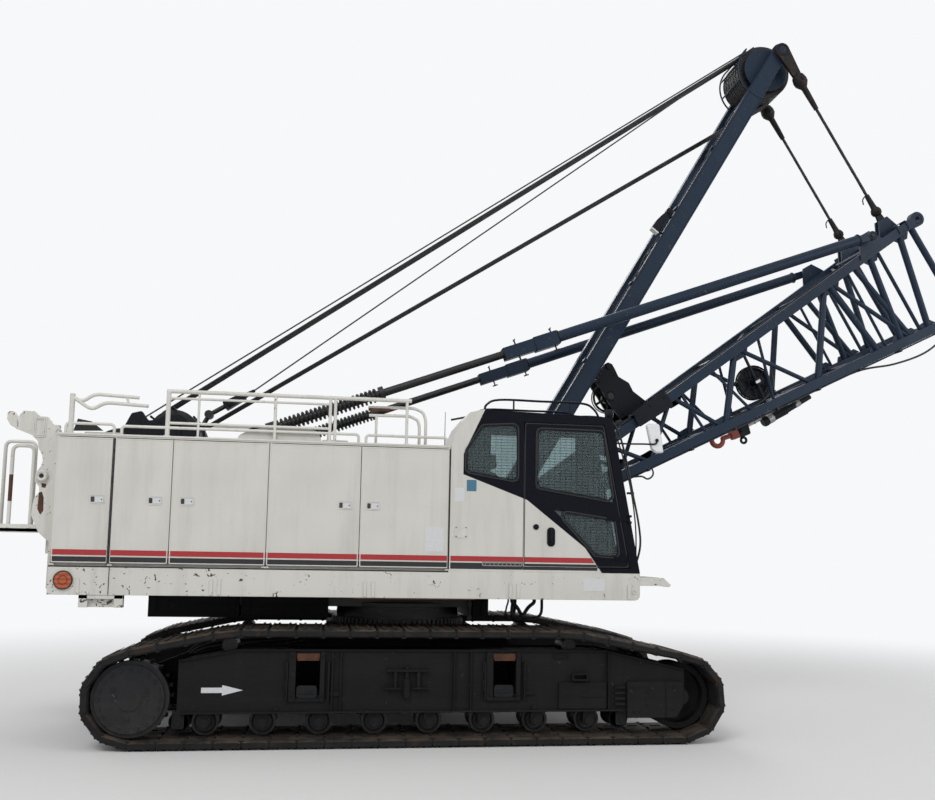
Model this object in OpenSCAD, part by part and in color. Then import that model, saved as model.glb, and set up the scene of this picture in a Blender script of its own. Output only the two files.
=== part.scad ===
// Crawler crane with a live mast and the base section of its lattice boom.
// Millimetres. X points forward, Y to the left and Z up; the tracks stand on Z 0.
// The upper works are drawn swung straight ahead, with the boom and the mast raised.

/* [Tracks] */
// Length over the shoes of one track
track_length = 6880; // [6600:10:7100]
// Width over both tracks, side frames drawn in
track_overall_w = 3300; // [3260:10:3600]
// Width of one shoe
shoe_w = 860; // [760:10:880]
// Thickness of a shoe plate
shoe_t = 55; // [45:1:65]
// Thickness of the link chain under the shoes
chain_t = 50; // [40:1:60]
// Number of shoes on one track
shoe_count = 52; // [48:1:56]
// Gap between two shoes
shoe_gap = 16; // [10:1:24]
// Height over the rear end of a track
track_rear_h = 1020; // [990:5:1050]
// Height over the front end of a track
track_front_h = 985; // [960:5:1020]
// Height of the upper run over the carrier rollers
track_top = 1229; // [1200:1:1250]
// Rear carrier roller, along X
carrier_rear_x = -1980; // [-2050:5:-1900]
// Front carrier roller, along X
carrier_front_x = 1690; // [1620:5:1750]
// Radius of a carrier roller
carrier_r = 80; // [70:1:90]
// Radius of a track roller
roller_r = 140; // [125:1:145]
// Number of track rollers under one side frame
roller_count = 8; // [6:1:8]
// Distance between track rollers
roller_pitch = 585; // [540:5:590]
// Rearmost track roller, along X
roller_rear_x = -2200; // [-2210:5:-2100]

/* [Side frames] */
// Width of a side frame
frame_w = 560; // [520:5:600]
// Thickness of the side plates
frame_plate_t = 30; // [24:1:40]
// Top of the side frames
frame_top = 1005; // [980:5:1020]
// Bottom edge of the side plates
frame_bottom = 344; // [320:2:360]
// Front end of the side plates
frame_front_x = 2990; // [2960:5:3020]
// Rear end of the side plates
frame_rear_x = -2480; // [-2520:5:-2440]
// Radius of the final drive's cover
drive_r = 330; // [310:5:345]

/* [Carbody] */
// Slewing axis, along X
slew_x = -110; // [-160:5:-60]
// Length of the carbody's middle box
carbody_len = 1720; // [1600:10:1760]
// Width of the carbody's middle box
carbody_w = 1500; // [1400:10:1560]
// Underside of the carbody
carbody_bottom = 470; // [440:5:500]
// Top of the carbody
carbody_top = 1180; // [1150:5:1200]
// Distance between the middles of the two axle beams
axle_span = 2090; // [2040:5:2140]
// Length of an axle beam's section, along X
axle_len = 400; // [360:5:420]
// Height of an axle beam's section
axle_h = 440; // [400:5:460]
// Wall of an axle beam
axle_wall = 30; // [20:1:40]
// Radius of the slewing ring
slew_r = 780; // [700:5:820]

/* [Upper works] */
// Rear end of the deck
deck_rear_x = -3820; // [-3860:5:-3800]
// Front end of the deck
deck_front_x = 2480; // [2460:5:2520]
// Width of the deck
deck_w = 3000; // [2960:10:3040]
// Underside of the deck's side beams
deck_bottom = 1547; // [1530:1:1560]
// Top of the deck
deck_top = 1846; // [1830:1:1860]
// Underside of the deck's middle frame
deck_belly = 1400; // [1380:5:1430]
// Thickness of the deck's plates
deck_plate_t = 30; // [20:1:40]
// Top of the machinery house
house_top = 3212; // [3190:1:3240]
// Front end of the machinery house
house_front_x = 312; // [290:2:320]
// Inner side of the house's side bays, from the middle
bay_inner_y = 640; // [630:2:650]
// Thickness of the house's sheets and doors
sheet_t = 36; // [28:1:45]
// Gap round a door
door_gap = 7; // [6:0.5:10]

/* [Cab] */
// Top of the cab at its rear
cab_top = 3635; // [3600:5:3680]
// Drop of the cab's roof towards the front
cab_roof_drop = 35; // [20:1:50]
// Front end of the cab's roof
cab_roof_front_x = 2150; // [2120:5:2170]
// Wall of the cab
cab_wall = 45; // [38:1:50]
// Rear edge of the cab's door
cab_door_x = 1141; // [1120:1:1160]

/* [Boom] */
// Boom's angle above the level
boom_angle = 31.3; // [30.5:0.1:32]
// Boom foot pin, along X
boom_foot_x = 1600; // [1580:5:1620]
// Height of the boom foot pin
boom_foot_z = 2690; // [2670:5:2710]
// Length of the base section, from foot pin to lug pin
boom_len = 6200; // [6100:10:6300]
// Half of the section's depth at the foot, at the chords' middles
boom_foot_h = 125; // [115:1:135]
// Half of the section's depth at the tip
boom_tip_h = 700; // [680:5:720]
// Half of the section's width at the foot
boom_foot_w = 550; // [545:1:555]
// Half of the section's width at the tip
boom_tip_w = 700; // [680:5:720]
// Side of a chord's square section
chord_w = 120; // [110:1:126]
// Radius of a thick lacing tube
lacing_r = 42; // [36:1:48]
// Radius of a thin lacing tube
lacing_thin_r = 28; // [24:1:34]
// Radius of the connecting lugs
lug_r = 95; // [85:1:100]
// Radius of the connecting lugs' bores
lug_bore_r = 35; // [30:1:40]
// Thickness of the connecting lugs
lug_t = 90; // [80:1:100]

/* [Mast] */
// Mast foot pin, along X
mast_foot_x = 1030; // [1010:5:1050]
// Height of the mast foot pin
mast_foot_z = 2350; // [2330:5:2370]
// Length of the mast, from foot pin to head shaft
mast_len = 7490; // [7400:10:7550]
// Mast's angle above the level
mast_angle = 59.6; // [59:0.1:60]
// Outer side of the mast's legs, from the middle
mast_outer_y = 430; // [425:1:432]
// Width of a mast leg, along Y
mast_leg_w = 130; // [110:2:140]
// Depth of a mast leg
mast_leg_d = 215; // [200:5:230]
// Pendants, from the middle
pendant_y = 470; // [466:1:474]

/* [Backstops] */
// Lower pin of the backstops, along X
backstop_x = -1850; // [-1900:10:-1800]
// Height of the backstops' lower pin
backstop_z = 3340; // [3330:5:3360]
// Backstops, from the middle
backstop_y = 862; // [858:1:870]
// Radius of the outer tube
backstop_tube_r = 100; // [99:1:104]
// Radius of the outer tube's bore
backstop_bore_r = 92; // [90:1:94]
// Radius of the inner rod
backstop_rod_r = 38; // [34:1:44]
// Length from the lower pin to the upper eye
backstop_len = 8170; // [8150:5:8190]
// Backstops' angle above the level
backstop_angle = 20.4; // [20.2:0.1:20.6]

/* [Hidden] */
$fn = 48;
// Gap at which a piece lies on its seat
seat = 0.3;
// Clearance of a pin in its bore
pin_clear = 0.4;
rear_end_x = -4600;
boom_tip_x = boom_foot_x + boom_len * cos(boom_angle) + boom_tip_h * sin(boom_angle) + lug_r;
mid_x = (rear_end_x + boom_tip_x) / 2;

track_y = track_overall_w / 2 - shoe_w / 2;
rear_r = track_rear_h / 2 - shoe_t;
front_r = track_front_h / 2 - shoe_t;
rear_wheel_x = -track_length / 2 + rear_r + shoe_t;
front_wheel_x = track_length / 2 - front_r - shoe_t;
rear_wheel_z = track_rear_h / 2;
front_wheel_z = track_front_h / 2;
run_z = track_top - shoe_t;

drive_drum_w = 640;
hub_seat_y = track_y + frame_w / 2;

// Places the crane so that the middle of its length lies on X 0
module placed() {
    translate([-mid_x, 0, 0]) children();
}

// Repeats the children on the right, as drawn, and mirrored on the left
module both_sides() {
    children();
    mirror([0, 1, 0]) children();
}

// Round bar of radius r from point p to point q
module tube(p, q, r) {
    v = q - p;
    translate(p) rotate([0, acos(v[2] / norm(v)), atan2(v[1], v[0])]) cylinder(h = norm(v), r = r);
}

// Plate drawn in the XZ plane, from y0 to y1
module side_plate(y0, y1) {
    translate([0, y1, 0]) rotate([90, 0, 0]) linear_extrude(y1 - y0) children();
}

// Cylinder along Y, from y0 to y1, round the point x, z
module cross_cyl(x, z, r, y0, y1) {
    translate([x, y1, z]) rotate([90, 0, 0]) cylinder(h = y1 - y0, r = r);
}

// The track's path as pieces: an arc is [1, length, x, z, radius, start, sweep]
// and a line is [0, length, x, z, angle]. It runs up at the rear and forward on top.
function tangent_deg(cx, cz, r, px, pz) = acos(r / norm([px - cx, pz - cz]));
rear_deg = atan2(run_z - rear_wheel_z, carrier_rear_x - rear_wheel_x)
    + tangent_deg(rear_wheel_x, rear_wheel_z, rear_r, carrier_rear_x, run_z);
front_deg = atan2(run_z - front_wheel_z, carrier_front_x - front_wheel_x)
    - tangent_deg(front_wheel_x, front_wheel_z, front_r, carrier_front_x, run_z);
rear_top = [rear_wheel_x + rear_r * cos(rear_deg), rear_wheel_z + rear_r * sin(rear_deg)];
front_top = [front_wheel_x + front_r * cos(front_deg), front_wheel_z + front_r * sin(front_deg)];
function line_piece(p, q) = [0, norm(q - p), p[0], p[1], atan2(q[1] - p[1], q[0] - p[0])];
function arc_piece(x, z, r, start, sweep) = [1, r * abs(sweep) * PI / 180, x, z, r, start, sweep];
path = [
    arc_piece(rear_wheel_x, rear_wheel_z, rear_r, 270, rear_deg - 270),
    line_piece(rear_top, [carrier_rear_x, run_z]),
    line_piece([carrier_rear_x, run_z], [carrier_front_x, run_z]),
    line_piece([carrier_front_x, run_z], front_top),
    arc_piece(front_wheel_x, front_wheel_z, front_r, front_deg, -90 - front_deg),
    line_piece([front_wheel_x, shoe_t], [rear_wheel_x, shoe_t])];
function total(v, i = 0) = i == len(v) ? 0 : v[i][1] + total(v, i + 1);
path_len = total(path);

// Point at length s along the path, moved outwards by off
function path_point(s, off, i = 0) = s > path[i][1] && i < len(path) - 1
    ? path_point(s - path[i][1], off, i + 1)
    : path[i][0] == 0
        ? [path[i][2] + s * cos(path[i][4]) - off * sin(path[i][4]),
           path[i][3] + s * sin(path[i][4]) + off * cos(path[i][4])]
        : let (a = path[i][5] + path[i][6] * s / path[i][1], r = path[i][4] + off)
            [path[i][2] + r * cos(a), path[i][3] + r * sin(a)];

module track() {
    pitch = path_len / shoe_count;
    inner_steps = 3;
    outline = [for (k = [0 : shoe_count - 1])
        let (a = path_point(k * pitch, 0), b = path_point((k + 1) % shoe_count * pitch, 0),
            u = (b - a) / norm(b - a), n = [-u[1], u[0]], g = u * shoe_gap / 2)
            each [a + g, a + g + n * shoe_t, b - g + n * shoe_t, b - g]];
    side_plate(-track_y - shoe_w / 2, -track_y + shoe_w / 2)
    difference() {
        polygon(outline);
        polygon([for (k = [0 : inner_steps * shoe_count - 1]) path_point(k * pitch / inner_steps, -chain_t)]);
    }
}

module track_right() { placed() color("DimGray") track(); }
module track_left() { placed() color("DimGray") mirror([0, 1, 0]) track(); }

// Slopes at the ends of the side frames' top
slope_rear = 620;
slope_front_x = 2080;

// Outline of a side frame's outer plate
module frame_outline() {
    polygon([[frame_rear_x, frame_bottom], [2270, frame_bottom], [2270, 270], [2890, 270],
        [frame_front_x, 420], [frame_front_x, frame_top - 205], [slope_front_x, frame_top],
        [frame_rear_x + slope_rear, frame_top], [frame_rear_x, frame_top - 115]]);
}

// Places of the two axle beams
axle_xs = [slew_x - axle_span / 2, slew_x + axle_span / 2];
axle_z = 500;

module side_frame() {
    y_out = -track_y - frame_w / 2;
    y_in = -track_y + frame_w / 2;
    core_bottom = 400;
    core_top = frame_top - 20;
    core_front_x = 2420;
    lug_w = 130;
    lug_bottom = 190;
    difference() {
        union() {
            side_plate(y_out, y_out + frame_plate_t) frame_outline();
            side_plate(y_in - frame_plate_t, y_in) frame_outline();
            side_plate(y_out + 10, y_in - 10) polygon([[frame_rear_x + 20, core_bottom],
                [core_front_x, core_bottom], [core_front_x, core_top - 90], [slope_front_x, core_top],
                [frame_rear_x + slope_rear, core_top], [frame_rear_x + 20, core_top - 110]]);
            // Arm that carries the final drive
            side_plate(y_in - 90, y_in) polygon([[frame_rear_x + 30, core_bottom],
                [frame_rear_x + 30, core_top - 60], [rear_wheel_x, rear_wheel_z + 230],
                [rear_wheel_x - 200, rear_wheel_z + 100], [rear_wheel_x - 200, rear_wheel_z - 100],
                [rear_wheel_x, rear_wheel_z - 230]]);
            // Lugs that hold the track rollers
            for (y = [y_out, y_in - frame_plate_t], k = [0 : roller_count - 1])
                translate([roller_rear_x + k * roller_pitch - lug_w / 2, y, lug_bottom])
                    cube([lug_w, frame_plate_t, frame_bottom - lug_bottom + 20]);
            // Posts that hold the carrier rollers
            for (x = [carrier_rear_x, carrier_front_x])
                translate([x - 50, y_in - 120, core_top - 70])
                    cube([100, 60, run_z - chain_t - carrier_r - core_top + 100]);
        }
        for (x = axle_xs)
            translate([x - axle_len / 2 - seat, y_out - 10, axle_z - seat])
                cube([axle_len + 2 * seat, frame_w + 20, axle_h + 2 * seat]);
        for (k = [0 : roller_count - 1])
            cross_cyl(roller_rear_x + k * roller_pitch, roller_z, roller_shaft_r + pin_clear,
                y_out - 10, y_in + 10);
        for (x = [carrier_rear_x, carrier_front_x]) {
            cross_cyl(x, carrier_z, carrier_shaft_r + pin_clear, y_out - 10, y_in + 10);
            cross_cyl(x, carrier_z, carrier_r + 15, -track_y - 180, -track_y + 150);
        }
        cross_cyl(front_wheel_x, front_wheel_z, idler_shaft_r + pin_clear, y_out - 10, y_in + 10);
    }
}

module side_frame_right() { placed() color([0.2, 0.2, 0.21]) side_frame(); }
module side_frame_left() { placed() color([0.2, 0.2, 0.21]) mirror([0, 1, 0]) side_frame(); }

roller_shaft_r = 32;
roller_z = shoe_t + chain_t + roller_r + 2 * seat;
carrier_shaft_r = 25;
carrier_z = run_z - chain_t - carrier_r - 12;
idler_shaft_r = 55;

// Track rollers and carrier rollers of both sides, each with its shaft
module rollers() {
    tread_w = 330;
    flange_w = 30;
    placed() color([0.16, 0.16, 0.17]) both_sides() {
        for (k = [0 : roller_count - 1]) {
            x = roller_rear_x + k * roller_pitch;
            cross_cyl(x, roller_z, roller_r - 22, -track_y - tread_w / 2, -track_y + tread_w / 2);
            for (s = [-1, 1])
                cross_cyl(x, roller_z, roller_r, -track_y + s * (tread_w / 2 - flange_w / 2) - flange_w / 2,
                    -track_y + s * (tread_w / 2 - flange_w / 2) + flange_w / 2);
            cross_cyl(x, roller_z, roller_shaft_r, -track_y - frame_w / 2 - 12, -track_y + frame_w / 2 + 12);
        }
        for (x = [carrier_rear_x, carrier_front_x]) {
            cross_cyl(x, carrier_z, carrier_r, -track_y - 170, -track_y + 140);
            cross_cyl(x, carrier_z, carrier_shaft_r, -track_y - 180, -track_y + frame_w / 2 - 40);
        }
    }
}

module idlers() {
    wheel_r = (front_r - chain_t) * 0.93;
    placed() color([0.18, 0.18, 0.19]) both_sides() {
        difference() {
            cross_cyl(front_wheel_x, front_wheel_z, wheel_r, -track_y - 170, -track_y + 170);
            for (s = [-1, 1]) translate([0, -track_y + s * 170, 0])
                difference() {
                    cross_cyl(front_wheel_x, front_wheel_z, wheel_r - 60, -110, 110);
                    cross_cyl(front_wheel_x, front_wheel_z, 130, -120, 120);
                }
        }
        cross_cyl(front_wheel_x, front_wheel_z, idler_shaft_r, -track_y - frame_w / 2 - 15,
            -track_y + frame_w / 2 + 15);
    }
}

// Final drive: sprocket drum, cover and bolt ring, carried by the side frame's arm
module final_drives() {
    wheel_r = (rear_r - chain_t) * 0.93;
    y_arm = -track_y + frame_w / 2 - 90 - seat;
    y_face = -track_overall_w / 2 + 20;
    bolt_count = 16;
    placed() color([0.17, 0.17, 0.18]) both_sides() {
        cross_cyl(rear_wheel_x, rear_wheel_z, wheel_r, -track_y - 150, -track_y + 110);
        cross_cyl(rear_wheel_x, rear_wheel_z, drive_r, y_face + 40, y_arm);
        cross_cyl(rear_wheel_x, rear_wheel_z, drive_r - 60, y_face, y_arm);
        for (k = [0 : bolt_count - 1])
            cross_cyl(rear_wheel_x + (drive_r - 30) * cos(k * 360 / bolt_count),
                rear_wheel_z + (drive_r - 30) * sin(k * 360 / bolt_count), 13, y_face + 22, y_face + 60);
    }
}

module carbody() {
    y_end = track_y + frame_w / 2 - 6;
    placed() color([0.2, 0.2, 0.21]) difference() {
        union() {
            translate([slew_x - carbody_len / 2, -carbody_w / 2, carbody_bottom])
                cube([carbody_len, carbody_w, carbody_top - carbody_bottom]);
            for (x = axle_xs)
                translate([x - axle_len / 2, -y_end, axle_z]) cube([axle_len, 2 * y_end, axle_h]);
            for (x = axle_xs)
                translate([x - axle_len / 2, -carbody_w / 2, axle_z])
                    cube([axle_len, carbody_w, axle_h + 120]);
        }
        for (x = axle_xs, s = [-1, 1])
            translate([x - axle_len / 2 + axle_wall, s > 0 ? y_end - 600 : -y_end - 10, axle_z + axle_wall])
                cube([axle_len - 2 * axle_wall, 610, axle_h - 2 * axle_wall]);
    }
}

module slew_ring() {
    tooth_count = 60;
    lower_h = deck_belly - carbody_top - 2 * seat;
    placed() color([0.25, 0.25, 0.26]) translate([slew_x, 0, carbody_top + seat]) difference() {
        union() {
            cylinder(h = lower_h, r = slew_r - 40);
            cylinder(h = lower_h * 0.4, r = slew_r);
        }
        translate([0, 0, -1]) cylinder(h = lower_h + 2, r = slew_r - 170);
    }
}

boom_lug_y = [472, 512, 588, 628];
mast_lug_y = [255, 295];
foot_pin_r = 45;
bracket_top_lip = 150;

// Outline of the middle foot plates, round the boom's and the mast's pins
module foot_outline() {
    polygon([[650, deck_top - 10], [900, mast_foot_z + 60], [mast_foot_x - 50, mast_foot_z + 130],
        [mast_foot_x + 90, mast_foot_z + 120], [boom_foot_x - 130, boom_foot_z + 60],
        [boom_foot_x - 50, boom_foot_z + 140], [boom_foot_x + 60, boom_foot_z + 140],
        [boom_foot_x + 140, boom_foot_z + 50], [2150, deck_top - 10]]);
}

module upper_frame() {
    y_beam = deck_w / 2;
    beam_w = 90;
    girder_y = 560;
    girder_t = 40;
    placed() color([0.8, 0.79, 0.75]) difference() {
        union() {
            both_sides() {
                // Side beam, a channel open to the inside
                difference() {
                    translate([deck_rear_x, -y_beam, deck_bottom])
                        cube([deck_front_x - deck_rear_x, beam_w, deck_top - deck_bottom]);
                    translate([deck_rear_x + 20, -y_beam + 15, deck_bottom + 15])
                        cube([deck_front_x - deck_rear_x - 40, beam_w, deck_top - deck_bottom - 30 - deck_plate_t]);
                }
                translate([deck_rear_x + 200, -girder_y - girder_t, deck_belly])
                    cube([deck_front_x - deck_rear_x - 600, girder_t, deck_top - deck_belly - 5]);
                side_plate(-mast_lug_y[1], -mast_lug_y[0]) polygon([[760, deck_top - 10],
                    [mast_foot_x - 90, mast_foot_z + 80], [mast_foot_x, mast_foot_z + 120],
                    [mast_foot_x + 90, mast_foot_z + 80], [1450, deck_top - 10]]);
                side_plate(-boom_lug_y[1], -boom_lug_y[0] + 35) foot_outline();
                side_plate(-boom_lug_y[3], -boom_lug_y[2]) polygon([[1200, deck_top - 10],
                    [boom_foot_x - 130, boom_foot_z + 40], [boom_foot_x, boom_foot_z + 140],
                    [boom_foot_x + 130, boom_foot_z + 40], [2150, deck_top - 10]]);
                // Foot pins
                cross_cyl(boom_foot_x, boom_foot_z, foot_pin_r, -boom_lug_y[3] - 10, -boom_lug_y[0] + 20);
                cross_cyl(mast_foot_x, mast_foot_z, foot_pin_r, -boom_lug_y[0], -mast_lug_y[0] + 10);
            }
            translate([deck_rear_x + 5, -y_beam + 20, deck_top - deck_plate_t])
                cube([deck_front_x - deck_rear_x - 10, 2 * y_beam - 40, deck_plate_t]);
            translate([deck_rear_x, -y_beam + 20, deck_bottom + 5])
                cube([50, 2 * y_beam - 40, deck_top - deck_bottom - 10]);
            for (x = [deck_rear_x + 200, -2400, 900, 1900])
                translate([x, -y_beam + 40, deck_bottom + 20])
                    cube([60, 2 * y_beam - 80, deck_top - deck_bottom - 30]);
            translate([slew_x, 0, deck_belly]) cylinder(h = 50, r = slew_r - 20);
            translate([slew_x - 900, -girder_y, deck_belly]) cube([1800, 2 * girder_y, 30]);
        }
        // Well for the swing gear, open below
        translate([slew_x, 0, deck_belly - 5]) cylinder(h = 100, r = 300);
    }
}

// Rear brackets that take the counterweight's hooks and pins
module counterweight_bracket() {
    plate_t = 60;
    x0 = deck_rear_x - seat;
    placed() color([0.82, 0.81, 0.77]) {
        both_sides() translate([0, -1330, 0]) difference() {
            union() {
                side_plate(-plate_t, 0) polygon([[x0, 1600], [x0, 3230], [x0 - 110, 3360], [x0 - 150, 3430],
                    [x0 - 290, 3430], [x0 - 310, 3330], [x0 - 340, 3330], [x0 - 370, 3430],
                    [x0 - 440, 3430], [x0 - 485, 3370], [x0 - 430, 3270], [x0 - 240, 3180],
                    [x0 - 130, 3080], [x0 - 90, 2900], [x0 - 150, 2760], [x0 - 90, 2600],
                    [x0 - 170, 2420], [x0 - 130, 2260], [x0 - 40, 2150], [x0 - 40, 1600]]);
                cross_cyl(x0 - 90, 2750, 60, -plate_t - 40, 20);
            }
            cross_cyl(x0 - 90, 2750, 26, -plate_t - 60, 40);
        }
        translate([x0 - 40, -1380, 1900]) cube([40, 2760, 160]);
        translate([x0 - 40, -1380, 2900]) cube([40, 2760, 120]);
    }
}

// Step at the rear right corner, with two hand loops
module rear_platform() {
    r = 20;
    x0 = deck_rear_x - 70;
    floor_z = 2180;
    y0 = -1270;
    y1 = -620;
    placed() color([0.8, 0.79, 0.75]) {
        translate([rear_end_x, y0, floor_z]) cube([x0 - rear_end_x - 4, y1 - y0, 40]);
        translate([x0 - 30, y0, floor_z - 220])
            cube([deck_rear_x - 40 - 2 * seat - x0 + 30, y1 - y0, 230]);
        for (y = [y0 + 30, y1 - 30]) {
            tube([rear_end_x + 60, y, floor_z + 30], [rear_end_x + 60, y, 3050], r);
            tube([x0 - 150, y, floor_z + 30], [x0 - 150, y, 3050], r);
            tube([rear_end_x + 60, y, 3050], [x0 - 150, y, 3050], r);
            for (x = [rear_end_x + 60, x0 - 150]) translate([x, y, 3050]) sphere(r = r);
        }
    }
}

house_rear_x = deck_rear_x + 12;
door_z0 = deck_top + 24;
door_z1 = house_top - 16;
// Seams of the side doors on the right, from the rear
right_seams = [house_rear_x, -3238, -2640, -1645, -664, house_front_x];
// Seams of the side doors on the left, from the rear
left_seams = [house_rear_x, -2640, -1164, house_front_x];

module house() {
    y_out = deck_w / 2;
    roof_t = 30;
    post_w = 70;
    wall_z = deck_top + seat;
    wall_h = house_top - wall_z;
    placed() color([0.83, 0.82, 0.78]) difference() {
        union() {
        both_sides() {
            // Roof of a side bay, with its edge turned down over the doors
            translate([house_rear_x, -y_out, house_top - roof_t])
                cube([house_front_x - house_rear_x, y_out - bay_inner_y, roof_t]);
            // Inner wall
            translate([house_rear_x, -bay_inner_y - sheet_t, wall_z])
                cube([house_front_x - house_rear_x, sheet_t, wall_h - 5]);
            // Rear and front walls of the bay
            for (x = [house_rear_x, house_front_x - sheet_t])
                translate([x, -y_out + sheet_t + door_gap, wall_z])
                    cube([sheet_t, y_out - bay_inner_y - sheet_t - door_gap, wall_h - 5]);
            translate([house_rear_x, -y_out + sheet_t + door_gap, wall_z])
                cube([house_front_x - house_rear_x, 50, 60]);
        }
        // Posts behind the seams where doors hang
        for (x = [right_seams[1], right_seams[3]])
            translate([x - post_w / 2, -y_out + sheet_t + door_gap, wall_z]) cube([post_w, 50, wall_h - 5]);
        for (x = [left_seams[1], left_seams[2]])
            translate([x - post_w / 2, y_out - sheet_t - door_gap - 50, wall_z])
                cube([post_w, 50, wall_h - 5]);
        // Rear wall between the bays
        translate([house_rear_x, -bay_inner_y - 10, wall_z]) cube([sheet_t, 2 * bay_inner_y + 20, 1000]);
        // Sill brackets under the doors' pins
        for (d = side_doors)
            translate([pivot_x(d[0], d[1], d[3]) - 22, d[2] > 0 ? y_out - 60 : -y_out + 2, wall_z])
                cube([44, 58, 16]);
        }
        for (d = side_doors) translate([pivot_x(d[0], d[1], d[3]), d[2] * pivot_y, wall_z - 1])
            cylinder(h = house_top - wall_z - roof_t + 12, r = pivot_r + seat);
    }
}

// Engine, a plain mass in the rear of the right bay
module engine() {
    placed() color([0.35, 0.35, 0.36]) translate([-3100, -1330, deck_top + seat]) cube([1500, 600, 1020]);
}

// Winch drum along Y at x, z, between the inner walls of the bays
module drum(x, z, barrel_r, flange_r) {
    y = bay_inner_y - seat;
    shaft_r = 60;
    placed() color([0.22, 0.22, 0.23]) {
        cross_cyl(x, z, barrel_r, -460, 460);
        for (s = [-1, 1]) cross_cyl(x, z, flange_r, s * 475 - 15, s * 475 + 15);
        cross_cyl(x, z, shaft_r, -y, y);
    }
}

module drum_front() { drum(-420, 2420, 290, 400); }
module drum_rear() { drum(-1430, 2420, 290, 400); }
module drum_boom() { drum(-3380, 3060, 210, 330); }

sheave_x = -2800;
sheave_z = 3350;

// Low gantry: plates between the bays that carry the rope sheaves, and the backstops' brackets
module gantry() {
    y = bay_inner_y - seat;
    t = 40;
    lug = 26;
    placed() color([0.16, 0.18, 0.22]) {
        difference() {
            union() {
                both_sides() side_plate(-y, -y + t) polygon([[-3050, deck_top + seat],
                    [-2950, 3300], [sheave_x - 100, 3520], [sheave_x + 120, 3560],
                    [sheave_x + 220, 3300], [-2350, deck_top + seat]]);
                translate([-2990, -y + 10, 2560]) cube([160, 2 * y - 20, 120]);
                translate([-2620, -y + 10, 2560]) cube([120, 2 * y - 20, 120]);
            }
            both_sides() cross_cyl(sheave_x, sheave_z, 50 + pin_clear, -y - 1, -y + t + 1);
        }
        both_sides() difference() {
            union() {
                translate([backstop_x - 240, -backstop_y - 110, house_top + seat]) cube([420, 220, 24]);
                for (d = [-backstop_eye_t / 2 - 6 - lug, backstop_eye_t / 2 + 6])
                    side_plate(-backstop_y + d, -backstop_y + d + lug)
                        polygon([[backstop_x - 180, house_top + 10], [backstop_x - 70, backstop_z + 50],
                            [backstop_x, backstop_z + 90], [backstop_x + 70, backstop_z + 50],
                            [backstop_x + 150, house_top + 10]]);
                cross_cyl(backstop_x, backstop_z, backstop_pin_r, -backstop_y - 80, -backstop_y + 80);
            }
        }
    }
}

backstop_eye_t = 50;
backstop_pin_r = 26;

// Grooved sheave along Y at y, turned round the origin
module sheave(y, r, w, bore) {
    rope = 15;
    translate([0, y + w / 2, 0]) rotate([90, 0, 0]) rotate_extrude()
        polygon([[bore, 0], [r, 0], [r, w * 0.2], [r - rope, w * 0.5], [r, w * 0.8], [r, w], [bore, w]]);
}

module gantry_sheaves() {
    y = bay_inner_y - seat;
    placed() color([0.12, 0.12, 0.13]) translate([sheave_x, 0, sheave_z]) {
        cross_cyl(0, 0, 50, -y, y);
        for (s = [-1, 1], k = [0 : 3]) sheave(s * (220 + k * 70), 290, 60, 48);
        for (s = [-1, 1]) cross_cyl(0, 0, 110, s * 325 - 140, s * 325 + 140);
    }
}

// Cab
cab_x0 = house_front_x + 6;
cab_y0 = -deck_w / 2;
cab_y1 = -bay_inner_y - 12;
cab_z0 = deck_top + seat;
cab_front_low_x = deck_front_x;
cab_lean = (cab_front_low_x - cab_roof_front_x) / (cab_top - cab_roof_drop - cab_z0);

// Outline of the cab from the side, drawn in by d
module cab_outline(d) {
    polygon([[cab_x0 + d, cab_z0 + d], [cab_x0 + d, house_top + 20], [cab_x0 + 110 + d, cab_top - 150],
        [cab_x0 + 200 + d, cab_top - 40 - d], [cab_x0 + 350, cab_top - d],
        [cab_roof_front_x - d, cab_top - cab_roof_drop - d], [cab_front_low_x - d, cab_z0 + d]]);
}

// Front edge of the cab at height z
function cab_front(z) = cab_front_low_x - cab_lean * (z - cab_z0);

// Outline of the door, drawn in by d
module door_outline(d) {
    z0 = cab_z0 + 60;
    z1 = cab_top - 130;
    polygon([[cab_door_x + d, z0 + d], [cab_front(z0) - door_pillar - d, z0 + d],
        [cab_front(z1) - door_pillar - d, z1 - d], [cab_door_x + d, z1 - d]]);
}

// Windows of the right side, drawn out by d
module rear_window(d) {
    polygon([[481 - d, 2930 - d], [1071 + d, 2836 - d], [1063 + d, 3486 + d], [660 - d, 3459 + d],
        [481 - d, 3174 + d]]);
}
module door_window(d) {
    polygon([[1280 - d, 2776 - d], [2170 + d, 2640 - d], [2050 + d, 3440 + d], [1280 - d, 3445 + d]]);
}
module low_window(d) {
    polygon([[1480 - d, 2540 + d], [1957 - d, 2035 - d], [2240 + d, 2018 - d], [2180 + d, 2442 + d]]);
}

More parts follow.
